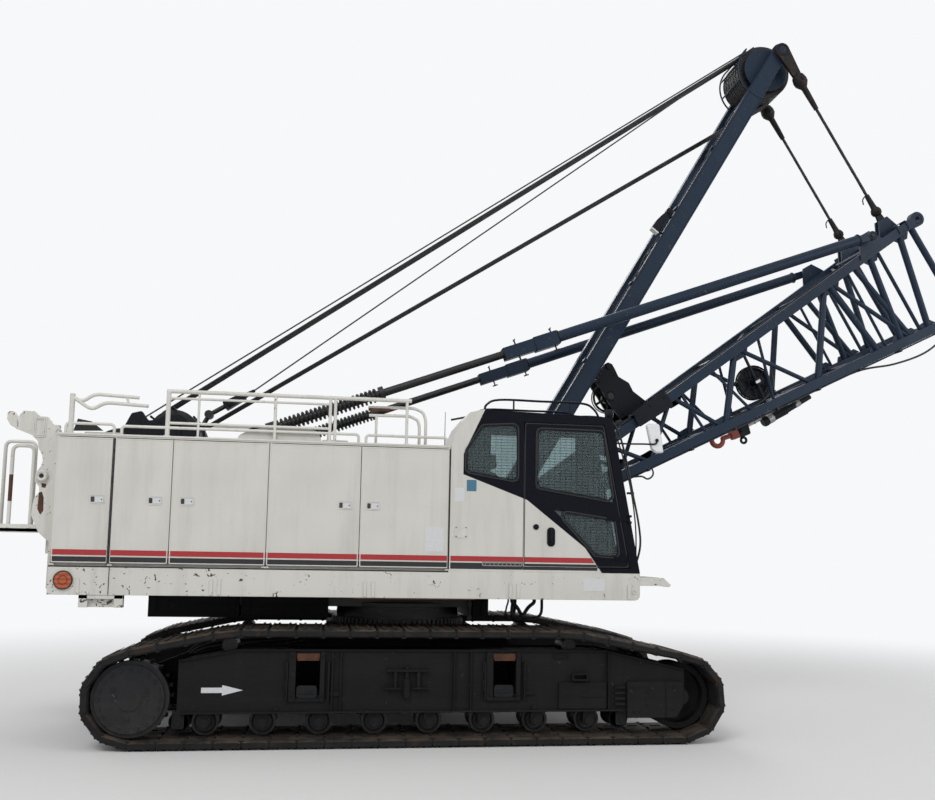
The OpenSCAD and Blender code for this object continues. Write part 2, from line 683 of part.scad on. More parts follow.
module cab() {
    w = cab_wall;
    lug_h = 26;
    placed() color([0.84, 0.83, 0.79]) {
        for (z = door_hinge_zs) {
            for (s = [-1, 1]) translate([0, 0, z + s * (knuckle_h / 2 + lug_h / 2 + seat) - lug_h / 2]) {
                translate([door_hinge_x, door_hinge_y, 0]) cylinder(h = lug_h, r = knuckle_r);
                translate([door_hinge_x + 8, door_hinge_y - knuckle_r, 0]) cube([20, knuckle_r + 20, lug_h]);
            }
            translate([door_hinge_x, door_hinge_y, z - knuckle_h / 2 - 2])
                cylinder(h = knuckle_h + 4, r = door_pin_r);
        }
        difference() {
        side_plate(cab_y0, cab_y1) cab_outline(0);
        side_plate(cab_y0 + w, cab_y1 - w) cab_outline(w);
        side_plate(cab_y0 - 10, cab_y0 + w + 5) door_outline(-door_gap);
        side_plate(cab_y0 - 10, cab_y0 + w + 5) rear_window(0);
        // Inner side window
        translate([900, cab_y1 - w - 10, 2750]) cube([1050, w + 20, 700]);
        // Windscreen, roof window and rear window
        translate([cab_front_low_x - 420, cab_y0 + 90, 2150]) cube([500, cab_y1 - cab_y0 - 180, 1350]);
        translate([1050, cab_y0 + 150, cab_top - 120]) cube([700, cab_y1 - cab_y0 - 300, 200]);
        }
    }
}

module cab_glass() {
    t = 8;
    w = cab_wall;
    placed() color([0.35, 0.45, 0.47, 0.6]) {
        side_plate(cab_y0 + 15, cab_y0 + 15 + t) rear_window(-seat);
        translate([900 + seat, cab_y1 - 25, 2750 + seat]) cube([1050 - 2 * seat, t, 700 - 2 * seat]);
        side_plate(cab_y0 + 90 + seat, cab_y1 - 90 - seat) polygon([
            [cab_front(2150) - 15, 2150 + seat], [cab_front(3500) - 15, 3500 - seat],
            [cab_front(3500) - 15 - t, 3500 - seat], [cab_front(2150) - 15 - t, 2150 + seat]]);
        translate([1050 + seat, cab_y0 + 150 + seat, cab_top - 40])
            cube([700 - 2 * seat, cab_y1 - cab_y0 - 300 - 2 * seat, t]);
    }
}

module cab_interior() {
    z = cab_z0 + cab_wall + seat;
    placed() color([0.15, 0.15, 0.16]) {
        translate([900, -1310, z]) cube([460, 460, 340]);
        translate([880, -1320, z + 340]) cube([520, 480, 120]);
        translate([820, -1310, z + 340]) cube([130, 460, 760]);
        translate([1500, -1400, z]) cube([160, 120, 620]);
        translate([1500, -880, z]) cube([160, 120, 620]);
        translate([2120, -1240, z]) cube([120, 340, 420]);
    }
}

// Cab door's hinges
door_hinge_zs = [2010, 2450];
door_pillar = 110;
knuckle_r = 12;
knuckle_h = 44;
door_pin_r = 7;
door_hinge_x = cab_front(door_hinge_zs[0]) - door_pillar + 8;
door_hinge_y = cab_y0 - 14;

module cab_door() {
    placed() color([0.05, 0.05, 0.06]) {
        for (z = door_hinge_zs) difference() {
            edge_x = cab_front(z) - door_pillar;
            union() {
                translate([edge_x - 170, door_hinge_y + 2, z - knuckle_h / 2])
                    cube([door_hinge_x - edge_x + 165, 8, knuckle_h]);
                translate([edge_x - 170, cab_y0 - 8, z - knuckle_h / 2]) cube([160, 12, knuckle_h]);
                translate([door_hinge_x, door_hinge_y, z - knuckle_h / 2])
                    cylinder(h = knuckle_h, r = knuckle_r);
            }
            translate([door_hinge_x, door_hinge_y, z - knuckle_h]) cylinder(h = 2 * knuckle_h, r = door_pin_r + seat);
        }
        difference() {
            side_plate(cab_y0, cab_y0 + cab_wall) door_outline(0);
            side_plate(cab_y0 - 10, cab_y0 + cab_wall + 10) door_window(0);
            side_plate(cab_y0 - 10, cab_y0 + cab_wall + 10) low_window(0);
        }
    }
}

module door_glass() {
    placed() color([0.35, 0.45, 0.47, 0.6]) {
        side_plate(cab_y0 + 15, cab_y0 + 23) door_window(-seat);
        side_plate(cab_y0 + 15, cab_y0 + 23) low_window(-seat);
    }
}

// Guard rail along X from x0 to x1 at y, with posts on the roof
module rail(x0, x1, y, z, posts) {
    r = 20;
    foot = house_top + seat;
    for (k = [0 : posts - 1]) translate([x0 + (x1 - x0) * k / (posts - 1), y, foot])
        cylinder(h = z - foot, r = r);
    tube([x0 - r, y, z], [x1 + r, y, z], r);
    tube([x0, y, foot + (z - foot) * 0.55], [x1, y, foot + (z - foot) * 0.55], r * 0.75);
}

module guard_rails() {
    placed() color([0.85, 0.84, 0.8]) {
        rail(-2740, 230, -deck_w / 2 + 40, 3690, 6);
        rail(-2740, -2000, deck_w / 2 - 40, 3690, 3);
        rail(-3740, -3240, -deck_w / 2 + 40, 3330, 2);
    }
}

module side_mirror() {
    placed() color([0.85, 0.85, 0.83]) {
        y = cab_y0 + 48;
        translate([2560, y - 25, 3230]) cube([110, 50, 300]);
        tube([2600, y, 3370], [cab_front(3370) + 2.3, y, 3370], 10);
    }
}

module lamps() {
    placed() color([0.9, 0.4, 0.1]) {
        both_sides() cross_cyl(deck_rear_x + 155, 1696, 95, -deck_w / 2 - 22, -deck_w / 2 - seat);
    }
}

module tank_left() {
    placed() color([0.8, 0.79, 0.75])
        translate([house_front_x + 20, bay_inner_y + 20, deck_top + seat])
            cube([1300, deck_w / 2 - bay_inner_y - 20, 820]);
}

// Side door between two seams, turning on two pins; side is -1 on the right and 1 on the left
module side_door(x0, x1, side, hinge) {
    y = side > 0 ? deck_w / 2 - sheet_t : -deck_w / 2;
    z0 = door_z0;
    z1 = door_z1 - 22;
    placed() color([0.83, 0.82, 0.78]) {
        translate([x0 + door_gap / 2, y, z0]) cube([x1 - x0 - door_gap, sheet_t, z1 - z0]);
        translate([pivot_x(x0, x1, hinge), side * pivot_y, z0 - pivot_len])
            cylinder(h = z1 - z0 + 2 * pivot_len, r = pivot_r);
    }
}

// Side doors as [rear seam, front seam, side, hinged edge]; the edge is 0 at the rear, 1 in front
side_doors = [
    [right_seams[0], right_seams[1], -1, 0],
    [right_seams[1], right_seams[2], -1, 0],
    [right_seams[2], right_seams[3], -1, 1],
    [right_seams[3], right_seams[4], -1, 0],
    [right_seams[4], right_seams[5], -1, 1],
    [left_seams[0], left_seams[1], 1, 0],
    [left_seams[1], left_seams[2], 1, 0],
    [left_seams[2], left_seams[3], 1, 1]];
pivot_r = 6;
pivot_len = 16;
pivot_in_x = 13;
pivot_in_y = 7;
pivot_y = deck_w / 2 - pivot_in_y;
function pivot_x(x0, x1, hinge) = hinge > 0 ? x1 - door_gap / 2 - pivot_in_x : x0 + door_gap / 2 + pivot_in_x;
module nth_door(k) {
    side_door(side_doors[k][0], side_doors[k][1], side_doors[k][2], side_doors[k][3]);
}
module side_door_right_1() { nth_door(0); }
module side_door_right_2() { nth_door(1); }
module side_door_right_3() { nth_door(2); }
module side_door_right_4() { nth_door(3); }
module side_door_right_5() { nth_door(4); }
module side_door_left_1() { nth_door(5); }
module side_door_left_2() { nth_door(6); }
module side_door_left_3() { nth_door(7); }

// Boom's own frame: X runs from the foot pin along the boom
module on_boom() {
    translate([boom_foot_x, 0, boom_foot_z]) rotate([0, -boom_angle, 0]) children();
}

// Half depth and half width of the boom section at x
function half_h(x) = boom_foot_h + (boom_tip_h - boom_foot_h) * x / boom_len;
function half_w(x) = boom_foot_w + (boom_tip_w - boom_foot_w) * x / boom_len;
function top(x, s) = [x, s * half_w(x), half_h(x)];
function bottom(x, s) = [x, s * half_w(x), -half_h(x)];
slope_h = atan2(boom_tip_h - boom_foot_h, boom_len);
slope_w = atan2(boom_tip_w - boom_foot_w, boom_len);

// Chord of square section, from x0 to x1, on the side s and at the top or bottom t
module chord(s, t, x0, x1) {
    p = [x0, s * half_w(x0), t * half_h(x0)];
    q = [x1, s * half_w(x1), t * half_h(x1)];
    v = q - p;
    translate(p) rotate([0, 0, atan2(v[1], v[0])]) rotate([0, -asin(v[2] / norm(v)), 0])
        translate([0, -chord_w / 2, -chord_w / 2]) cube([norm(v), chord_w, chord_w]);
}

deflector_z = 340;
hook_x = 2950;
reel_x = 3320;
// Outer face of the backstops' ears on the boom
backstop_ear_y = half_w(5412) + chord_w / 2 + 10;
// Side lacing as [top x, bottom x, thick]
side_lacing = [[1000, 1400, 0], [2050, 1400, 0], [2050, 2450, 0], [3090, 2480, 1], [3130, 3800, 0],
    [4600, 3850, 1], [4650, 4800, 1], [4680, 5290, 0], [5360, 5150, 1], [5890, 5570, 1]];
// Lacing of the top and bottom faces as [x on the right, x on the left]
face_lacing = [[1000, 2000], [3000, 2000], [3000, 4000], [4900, 4000], [4900, 5700]];

module boom() {
    foot_x = 230;
    placed() on_boom() color([0.15, 0.19, 0.25]) difference() {
        union() {
            for (s = [-1, 1], t = [-1, 1]) chord(s, t, foot_x, boom_len - 60);
            // Foot plates with the pin eyes
            for (s = [-1, 1]) side_plate(s * 550 - 32, s * 550 + 32) {
                polygon([[0, -110], [0, 110], [700, half_h(700)], [700, -half_h(700)]]);
                circle(r = 110);
            }
            for (s = [-1, 1], l = side_lacing)
                tube(top(l[0], s), bottom(l[1], s), l[2] > 0 ? lacing_r : lacing_thin_r);
            for (l = face_lacing) {
                tube(top(l[0], -1), top(l[1], 1), lacing_thin_r);
                tube(bottom(l[0], -1), bottom(l[1], 1), lacing_thin_r);
            }
            // End frames
            for (x = [900, boom_len - 120]) {
                tube(top(x, -1), top(x, 1), lacing_r);
                tube(bottom(x, -1), bottom(x, 1), lacing_r);
            }
            for (s = [-1, 1]) tube(top(boom_len - 120, s), bottom(boom_len - 120, s), lacing_r);
            for (s = [-1, 1], t = [-1, 1])
                translate([boom_len, s * boom_tip_w, t * boom_tip_h]) {
                    cross_cyl(0, 0, lug_r, -lug_t / 2, lug_t / 2);
                    translate([-140, -lug_t / 2, -50]) cube([140, lug_t, 100]);
                }
            // Cross beams under the deflector and over the hook
            for (x = [1520, 1860]) translate([x, -half_w(x), deflector_z - 100 - seat])
                cube([90, 2 * half_w(x), 100]);
            tube(bottom(hook_x, -1), bottom(hook_x, 1), lacing_r);
            // Ears of the pendants and of the backstops
            for (s = [-1, 1], d = [-52, 30])
                side_plate(s * pendant_y + d, s * pendant_y + d + 22) polygon([[5700, half_h(5700) - 20],
                    [5860, 930], [6000, 930], [6100, half_h(6100) - 20]]);
            for (s = [-1, 1])
                side_plate(s * (backstop_ear_y - 13) - 13, s * (backstop_ear_y - 13) + 13)
                    polygon([[5180, half_h(5180)], [5340, 880], [5490, 880], [5650, half_h(5650)]]);
            tube(top(5760, -1), top(5760, 1), lacing_r);
            tube(top(6040, -1), top(6040, 1), lacing_r);
        }
        for (s = [-1, 1]) cross_cyl(0, 0, foot_pin_r + pin_clear, s * 550 - 60, s * 550 + 60);
        for (s = [-1, 1], t = [-1, 1])
            translate([boom_len, s * boom_tip_w, t * boom_tip_h])
                cross_cyl(0, 0, lug_bore_r, -lug_t, lug_t);
    }
}

module boom_deflector() {
    z = deflector_z;
    placed() on_boom() color([0.06, 0.07, 0.08]) {
        both_sides() side_plate(-160, -120) polygon([[1500, z], [1350, 1050], [1500, 1180],
            [1650, 1150], [1980, 400], [1980, z]]);
        cross_cyl(1560, 980, 45, -125, 125);
        translate([1560, 0, 980]) sheave(0, 240, 80, 40);
        translate([1500, -160, z]) cube([480, 320, 30]);
    }
}

module cable_reel() {
    placed() on_boom() color([0.05, 0.05, 0.06]) {
        cross_cyl(reel_x, 60, 210, -520, -440);
        cross_cyl(reel_x, 60, 60, -half_w(reel_x + 30) + lacing_thin_r + seat, -440);
    }
}

module hook() {
    z = -half_h(hook_x) - lacing_r - seat;
    placed() on_boom() color([0.55, 0.15, 0.1]) {
        translate([hook_x - 80, -70, z - 150]) cube([160, 140, 150]);
        translate([hook_x - 20, 0, z - 150]) rotate([90, 0, 0]) rotate_extrude(angle = 250)
            translate([80, 0]) circle(r = 28);
    }
}

// Mast's own frame: X runs from the foot pin along the legs
module on_mast() {
    translate([mast_foot_x, 0, mast_foot_z]) rotate([0, -mast_angle, 0]) children();
}

module mast() {
    y0 = -mast_outer_y;
    y1 = -mast_outer_y + mast_leg_w;
    d = mast_leg_d / 2;
    placed() on_mast() color([0.16, 0.2, 0.27]) difference() {
        union() {
            both_sides() {
                side_plate(y0, y1) polygon([[0, -90], [500, -d], [mast_len - 500, -d],
                    [mast_len + 30, -100], [mast_len + 60, 100], [mast_len - 500, d], [500, d], [0, 90]]);
                cross_cyl(0, 0, 110, y0, y1);
                cross_cyl(mast_len, 0, 115, y0, y1);
            }
            both_sides() cross_cyl(mast_len, 0, 50, y0 - 66, y1);
            for (x = [mast_len - 1500, mast_len - 900, 4300])
                translate([x, y0 + 20, -60]) cube([160, -2 * y0 - 40, 120]);
        }
        cross_cyl(0, 0, foot_pin_r + pin_clear, -mast_outer_y - 10, mast_outer_y + 10);
    }
}

// Centre of the mast's head sheaves, along the mast and across it
head_sheave = [mast_len - 262, 32];

module mast_sheaves() {
    placed() on_mast() color([0.12, 0.12, 0.13]) translate([head_sheave[0], 0, head_sheave[1]]) {
        cross_cyl(0, 0, 45, y_sheave0, -y_sheave0);
        for (k = [-3 : 3]) sheave(k * 74, 360, 62, 44);
        cross_cyl(0, 0, 90, -250, 250);
    }
}
y_sheave0 = -mast_outer_y + mast_leg_w + seat;

pendant_len = 2701;
pendant_deg = -58.7;

module pendants() {
    link_t = 44;
    placed() translate([mast_foot_x + mast_len * cos(mast_angle), 0, mast_foot_z + mast_len * sin(mast_angle)])
        rotate([0, -pendant_deg, 0]) color([0.3, 0.2, 0.17]) both_sides() difference() {
            union() {
                side_plate(-pendant_y - link_t / 2, -pendant_y + link_t / 2) {
                    circle(r = 95);
                    translate([0, -55]) square([480, 110]);
                    translate([pendant_len - 420, -45]) square([420, 90]);
                    translate([pendant_len, 0]) circle(r = 60);
                }
                translate([440, -pendant_y, 0]) rotate([0, 90, 0]) cylinder(h = 460, r = 45);
                translate([440, -pendant_y, 0]) rotate([0, 90, 0]) cylinder(h = pendant_len - 860, r = 20);
                translate([pendant_len - 800, -pendant_y, 0]) rotate([0, 90, 0]) cylinder(h = 460, r = 42);
                cross_cyl(pendant_len, 0, 32, -pendant_y - 30 + seat, -pendant_y + 30 - seat);
            }
            cross_cyl(0, 0, 50 + pin_clear, -pendant_y - 60, -pendant_y + 60);
        }
}

// Backstops' own frame: X runs from the lower pin along the tubes
module on_backstops() {
    translate([backstop_x, 0, backstop_z]) rotate([0, -backstop_angle, 0]) children();
}

module backstop_rods() {
    placed() on_backstops() color([0.2, 0.21, 0.23]) both_sides() translate([0, -backstop_y, 0])
        difference() {
            union() {
                side_plate(-backstop_eye_t / 2, backstop_eye_t / 2) {
                    circle(r = 62);
                    translate([0, -45]) square([160, 90]);
                }
                translate([130, 0, 0]) rotate([0, 90, 0]) cylinder(h = 120, r = 70);
                translate([240, 0, 0]) rotate([0, 90, 0]) cylinder(h = 3660, r = backstop_rod_r);
                translate([3740, 0, 0]) rotate([0, 90, 0]) cylinder(h = 160, r = backstop_bore_r - seat);
                for (k = [0 : 15]) translate([270 + k * 78, 0, 0]) rotate([0, 90, 0]) cylinder(h = 32, r = 85);
                translate([1500, 0, 0]) rotate([0, 90, 0]) cylinder(h = 40, r = 85);
            }
            cross_cyl(0, 0, backstop_pin_r + pin_clear, -60, 60);
        }
}

module backstop_tubes() {
    sleeve0 = 3060;
    sleeve1 = 3830;
    placed() on_backstops() color([0.15, 0.18, 0.24]) both_sides() translate([0, -backstop_y, 0])
        difference() {
            union() {
                translate([sleeve0, 0, 0]) rotate([0, 90, 0])
                    cylinder(h = backstop_len - sleeve0 - 190, r = backstop_tube_r);
                side_plate(-backstop_eye_t / 2, backstop_eye_t / 2) {
                    translate([backstop_len, 0]) circle(r = 60);
                    translate([backstop_len - 230, -50]) square([230, 100]);
                }
                cross_cyl(backstop_len, 0, 30, -40, backstop_y - backstop_ear_y - seat);
            }
            translate([sleeve0 - 5, 0, 0]) rotate([0, 90, 0])
                cylinder(h = backstop_len - sleeve0 - 260, r = backstop_bore_r);
        }
}

carbody();
slew_ring();
side_frame_right();
side_frame_left();
track_right();
track_left();
final_drives();
idlers();
rollers();
upper_frame();
counterweight_bracket();
rear_platform();
house();
engine();
drum_front();
drum_rear();
drum_boom();
gantry();
gantry_sheaves();
cab();
cab_glass();
cab_interior();
cab_door();
door_glass();
guard_rails();
side_mirror();
lamps();
tank_left();
side_door_right_1();
side_door_right_2();
side_door_right_3();
side_door_right_4();
side_door_right_5();
side_door_left_1();
side_door_left_2();
side_door_left_3();
boom();
boom_deflector();
cable_reel();
hook();
mast();
mast_sheaves();
pendants();
backstop_rods();
backstop_tubes();
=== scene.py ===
"""Crawler crane: looks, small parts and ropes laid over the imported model."""
from math import acos, atan2, cos, dist, exp, hypot, pi, radians, sin, tan
import bmesh
import bpy
from mathutils import Matrix, Vector


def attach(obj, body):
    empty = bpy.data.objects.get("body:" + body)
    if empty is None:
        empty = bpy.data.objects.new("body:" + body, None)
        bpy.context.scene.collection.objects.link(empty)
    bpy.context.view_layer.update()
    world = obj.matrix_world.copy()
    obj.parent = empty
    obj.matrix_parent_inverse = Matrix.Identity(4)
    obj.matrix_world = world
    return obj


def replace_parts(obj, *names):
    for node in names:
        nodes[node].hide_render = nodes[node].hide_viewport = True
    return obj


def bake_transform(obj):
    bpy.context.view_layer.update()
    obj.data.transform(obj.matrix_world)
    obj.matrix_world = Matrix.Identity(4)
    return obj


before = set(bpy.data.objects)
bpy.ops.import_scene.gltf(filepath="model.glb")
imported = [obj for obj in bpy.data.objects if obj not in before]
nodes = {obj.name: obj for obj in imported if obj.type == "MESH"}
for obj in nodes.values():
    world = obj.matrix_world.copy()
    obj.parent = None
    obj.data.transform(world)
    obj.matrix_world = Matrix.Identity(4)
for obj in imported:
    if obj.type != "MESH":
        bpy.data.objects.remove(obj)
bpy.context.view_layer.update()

# Crane coordinates run from the middle of the tracks; the row frame from the middle of the length
MID = 1.378154
# Outer plane of the doors, the deck beams and the track frames
SIDE_Y = 1.5


def at(x, y, z):
    """A point given from the middle of the tracks, in the row frame."""
    return Vector((x - MID, y, z))


BOOM_ANGLE = radians(31.3)
MAST_ANGLE = radians(59.6)
BACKSTOP_ANGLE = radians(20.4)
BOOM_FOOT = (1.6, 2.69)
MAST_FOOT = (1.03, 2.35)
BACKSTOP_FOOT = (-1.85, 3.34)


def along(foot, angle, lx, y, lz):
    """A point in a leaning part's own frame, in the row frame."""
    c, s = cos(angle), sin(angle)
    return at(foot[0] + lx * c - lz * s, y, foot[1] + lx * s + lz * c)


def on_boom(lx, y, lz):
    return along(BOOM_FOOT, BOOM_ANGLE, lx, y, lz)


def on_mast(lx, y, lz):
    return along(MAST_FOOT, MAST_ANGLE, lx, y, lz)


def on_backstop(lx, y, lz):
    return along(BACKSTOP_FOOT, BACKSTOP_ANGLE, lx, y, lz)


# Materials
def node_tree(name):
    m = bpy.data.materials.new(name)
    m.use_nodes = True
    t = m.node_tree
    return m, t, t.nodes["Principled BSDF"]


def noise(t, scale, detail=4.0, rough=0.6, vec=None, distortion=0.0):
    n = t.nodes.new("ShaderNodeTexNoise")
    n.inputs["Scale"].default_value = scale
    n.inputs["Detail"].default_value = detail
    n.inputs["Roughness"].default_value = rough
    n.inputs["Distortion"].default_value = distortion
    if vec is not None:
        t.links.new(vec, n.inputs["Vector"])
    return n.outputs["Fac"]


def ramp(t, fac, stops):
    r = t.nodes.new("ShaderNodeValToRGB")
    t.links.new(fac, r.inputs["Fac"])
    e = r.color_ramp.elements
    while len(e) < len(stops):
        e.new(0.5)
    for k, (pos, value) in enumerate(stops):
        e[k].position = pos
        e[k].color = (value, value, value, 1) if isinstance(value, (int, float)) else (*value, 1)
    return r.outputs["Color"]


def mix(t, fac, a, b, mode="MIX"):
    m = t.nodes.new("ShaderNodeMix")
    m.data_type = "RGBA"
    m.blend_type = mode
    for key, value in (("Factor", fac), ("A", a), ("B", b)):
        socket = [s for s in m.inputs if s.name == key and s.type == ("VALUE"
                if key == "Factor" else "RGBA")][0]
        if isinstance(value, (int, float)):
            socket.default_value = value
        elif isinstance(value, tuple):
            socket.default_value = (*value, 1)
        else:
            t.links.new(value, socket)
    return [s for s in m.outputs if s.type == "RGBA"][0]


def math_node(t, op, a, b=0.0, clamp=False):
    n = t.nodes.new("ShaderNodeMath")
    n.operation = op
    n.use_clamp = clamp
    for k, value in enumerate((a, b)):
        if isinstance(value, (int, float)):
            n.inputs[k].default_value = value
        else:
            t.links.new(value, n.inputs[k])
    return n.outputs[0]


def xyz(t):
    c = t.nodes.new("ShaderNodeTexCoord")
    s = t.nodes.new("ShaderNodeSeparateXYZ")
    t.links.new(c.outputs["Object"], s.inputs[0])
    return c.outputs["Object"], s.outputs


def stretched(t, vec, scale):
    m = t.nodes.new("ShaderNodeMapping")
    m.inputs["Scale"].default_value = scale
    t.links.new(vec, m.inputs["Vector"])
    return m.outputs["Vector"]


def bump(t, shader, height, strength, distance):
    b = t.nodes.new("ShaderNodeBump")
    b.inputs["Strength"].default_value = strength
    b.inputs["Distance"].default_value = distance
    t.links.new(height, b.inputs["Height"])
    t.links.new(b.outputs["Normal"], shader.inputs["Normal"])


def paint(name, base, dark, rough=0.42, grime=0.35, chips=0.0, chip_color=(0.05, 0.03, 0.02),
          dust=(0.35, 0.31, 0.25), low=None, metallic=0.0, coat=0.15, spec=0.5):
    """Weathered paint: broad fading, rain streaks, dust low down and small chips."""
    m, t, p = node_tree(name)
    vec, pos = xyz(t)
    fade = ramp(t, noise(t, 0.9, 3.0), ((0.35, 0.0), (0.7, 1.0)))
    color = mix(t, fade, base, dark)
    streak = noise(t, 1.0, 5.0, 0.65, stretched(t, vec, (7.0, 7.0, 0.6)))
    streak = ramp(t, streak, ((0.48, 0.0), (0.72, 1.0)))
    color = mix(t, math_node(t, "MULTIPLY", streak, grime), color, tuple(c * 0.55 for c in dust))
    fine = ramp(t, noise(t, 38.0, 6.0, 0.7), ((0.42, 0.0), (0.75, 1.0)))
    color = mix(t, math_node(t, "MULTIPLY", fine, grime * 0.45), color, dust)
    if low is not None:
        # low = (height of full dust, height where it ends)
        fall = t.nodes.new("ShaderNodeMapRange")
        fall.inputs["From Min"].default_value = low[1]
        fall.inputs["From Max"].default_value = low[0]
        t.links.new(pos[2], fall.inputs["Value"])
        cloud = math_node(t, "MULTIPLY", fall.outputs[0],
                          ramp(t, noise(t, 6.0, 5.0), ((0.3, 0.2), (0.75, 1.0))))
        color = mix(t, math_node(t, "MULTIPLY", cloud, 0.6), color, dust)
    if chips:
        spot = ramp(t, noise(t, 24.0, 2.0, 0.5, vec, 1.2),
                    ((0.735 - 0.06 * chips, 0.0), (0.755 - 0.06 * chips, 1.0)))
        color = mix(t, spot, color, chip_color)
    t.links.new(color, p.inputs["Base Color"])
    t.links.new(ramp(t, noise(t, 5.0, 5.0), ((0.3, max(rough - 0.1, 0.05)), (0.7, min(rough + 0.16, 1.0)))),
                p.inputs["Roughness"])
    p.inputs["Metallic"].default_value = metallic
    p.inputs["Coat Weight"].default_value = coat
    p.inputs["Coat Roughness"].default_value = 0.3
    p.inputs["Specular IOR Level"].default_value = spec
    bump(t, p, noise(t, 90.0, 3.0), 0.06, 0.004)
    return m


def facing_up(t):
    """How far a face looks up: 0 on walls and below, 1 on level tops."""
    c = t.nodes.new("ShaderNodeTexCoord")
    s = t.nodes.new("ShaderNodeSeparateXYZ")
    t.links.new(c.outputs["Normal"], s.inputs[0])
    return ramp(t, s.outputs[2], ((0.25, 0.0), (0.8, 1.0)))


def steel(name, base, rust, rough=0.55, share=0.5, metallic=0.6, scale=7.0, mud=None, spec=0.5):
    """Bare or worn steel with rust patches, and dried mud on its tops where asked."""
    m, t, p = node_tree(name)
    vec = xyz(t)[0]
    patch = ramp(t, noise(t, scale, 8.0, 0.7, vec, 0.6),
                 ((0.62 - share * 0.3, 0.0), (0.78 - share * 0.2, 1.0)))
    tone = ramp(t, noise(t, scale * 5, 6.0, 0.7), ((0.3, 0.55), (0.75, 1.0)))
    worn = mix(t, 1.0, base, tone, "MULTIPLY")
    color = mix(t, patch, worn, mix(t, tone, tuple(c * 0.6 for c in rust), rust))
    if mud:
        cake = ramp(t, noise(t, 3.2, 7.0, 0.72, vec, 0.4), ((0.38, 0.1), (0.62, 0.85)))
        cake = math_node(t, "MULTIPLY", cake, facing_up(t))
        color = mix(t, cake, color, mix(t, tone, tuple(c * 0.7 for c in mud), mud))
    t.links.new(color, p.inputs["Base Color"])
    t.links.new(math_node(t, "MULTIPLY", math_node(t, "SUBTRACT", 1.0, patch), metallic),
                p.inputs["Metallic"])
    t.links.new(ramp(t, noise(t, 14.0, 5.0), ((0.25, rough - 0.12), (0.75, min(rough + 0.25, 1.0)))),
                p.inputs["Roughness"])
    p.inputs["Specular IOR Level"].default_value = spec
    bump(t, p, noise(t, 55.0, 8.0, 0.75), 0.35, 0.006)
    return m


WHITE = (0.6, 0.59, 0.545)
WHITE_DARK = (0.52, 0.505, 0.455)
BLACK = (0.006, 0.007, 0.011)
SLATE = (0.012, 0.024, 0.044)
SLATE_DARK = (0.008, 0.017, 0.033)

M = {}
M["body"] = paint("body_white", WHITE, WHITE_DARK, 0.4, 0.16, 0.0, low=(1.5, 2.1))
M["rail"] = paint("rail_white", (0.66, 0.65, 0.6), WHITE_DARK, 0.4, 0.18, 0.55, (0.2, 0.07, 0.03))
M["bracket"] = paint("bracket_white", WHITE, WHITE_DARK, 0.45, 0.25, 0.8, (0.16, 0.06, 0.03))
M["slate"] = paint("slate_paint", SLATE, SLATE_DARK, 0.4, 0.1, 0.35, (0.09, 0.08, 0.075),
                   (0.07, 0.07, 0.08), coat=0.03, spec=0.16)
M["black"] = paint("black_paint", BLACK, (0.009, 0.01, 0.014), 0.36, 0.04, 0.0, dust=(0.06, 0.06, 0.065),
                   coat=0.02, spec=0.12)
M["frame"] = paint("undercarriage_paint", (0.008, 0.008, 0.009), (0.013, 0.013, 0.013), 0.62, 0.3, 0.4,
                   (0.05, 0.032, 0.022), (0.035, 0.031, 0.026), low=(-0.2, 0.5), coat=0.0, spec=0.1)
M["drive"] = paint("drive_paint", (0.01, 0.011, 0.014), (0.015, 0.016, 0.018), 0.5, 0.3, 0.3,
                   (0.07, 0.055, 0.04), (0.06, 0.055, 0.05), low=(0.1, 0.9), coat=0.0, spec=0.12)
M["track"] = steel("track_steel", (0.021, 0.02, 0.021), (0.04, 0.026, 0.018), 0.62, 0.32, 0.25, 5.0,
                   (0.105, 0.082, 0.06), 0.16)
M["steel"] = steel("dark_steel", (0.05, 0.05, 0.052), (0.09, 0.05, 0.03), 0.5, 0.25, 0.5)
M["jaw"] = steel("jaw_steel", (0.018, 0.019, 0.021), (0.035, 0.024, 0.018), 0.5, 0.25, 0.3, spec=0.2)
M["grease"] = steel("greased_steel", (0.016, 0.016, 0.017), (0.05, 0.03, 0.02), 0.35, 0.15, 0.4)
M["rust"] = steel("rusty_steel", (0.075, 0.045, 0.034), (0.13, 0.055, 0.03), 0.75, 0.75, 0.2, spec=0.2)
M["pendant"] = steel("pendant_steel", (0.02, 0.018, 0.019), (0.06, 0.026, 0.018), 0.55, 0.35, 0.3,
        spec=0.25)
M["rope"] = steel("wire_rope", (0.045, 0.045, 0.048), (0.06, 0.045, 0.035), 0.45, 0.3, 0.7, 20.0)
M["galv"] = steel("plated_steel", (0.38, 0.38, 0.37), (0.2, 0.16, 0.12), 0.4, 0.1, 0.8)


def plain(name, color, rough, metallic=0.0, vary=0.25, scale=20.0, coat=0.0):
    m, t, p = node_tree(name)
    tone = ramp(t, noise(t, scale, 5.0), ((0.3, 1.0 - vary), (0.7, 1.0)))
    t.links.new(mix(t, 1.0, color, tone, "MULTIPLY"), p.inputs["Base Color"])
    t.links.new(ramp(t, noise(t, scale * 2, 4.0), ((0.3, max(rough - 0.08, 0.03)),
            (0.7, min(rough + 0.1, 1)))), p.inputs["Roughness"])
    p.inputs["Metallic"].default_value = metallic
    p.inputs["Coat Weight"].default_value = coat
    bump(t, p, noise(t, scale * 6, 3.0), 0.08, 0.002)
    return m


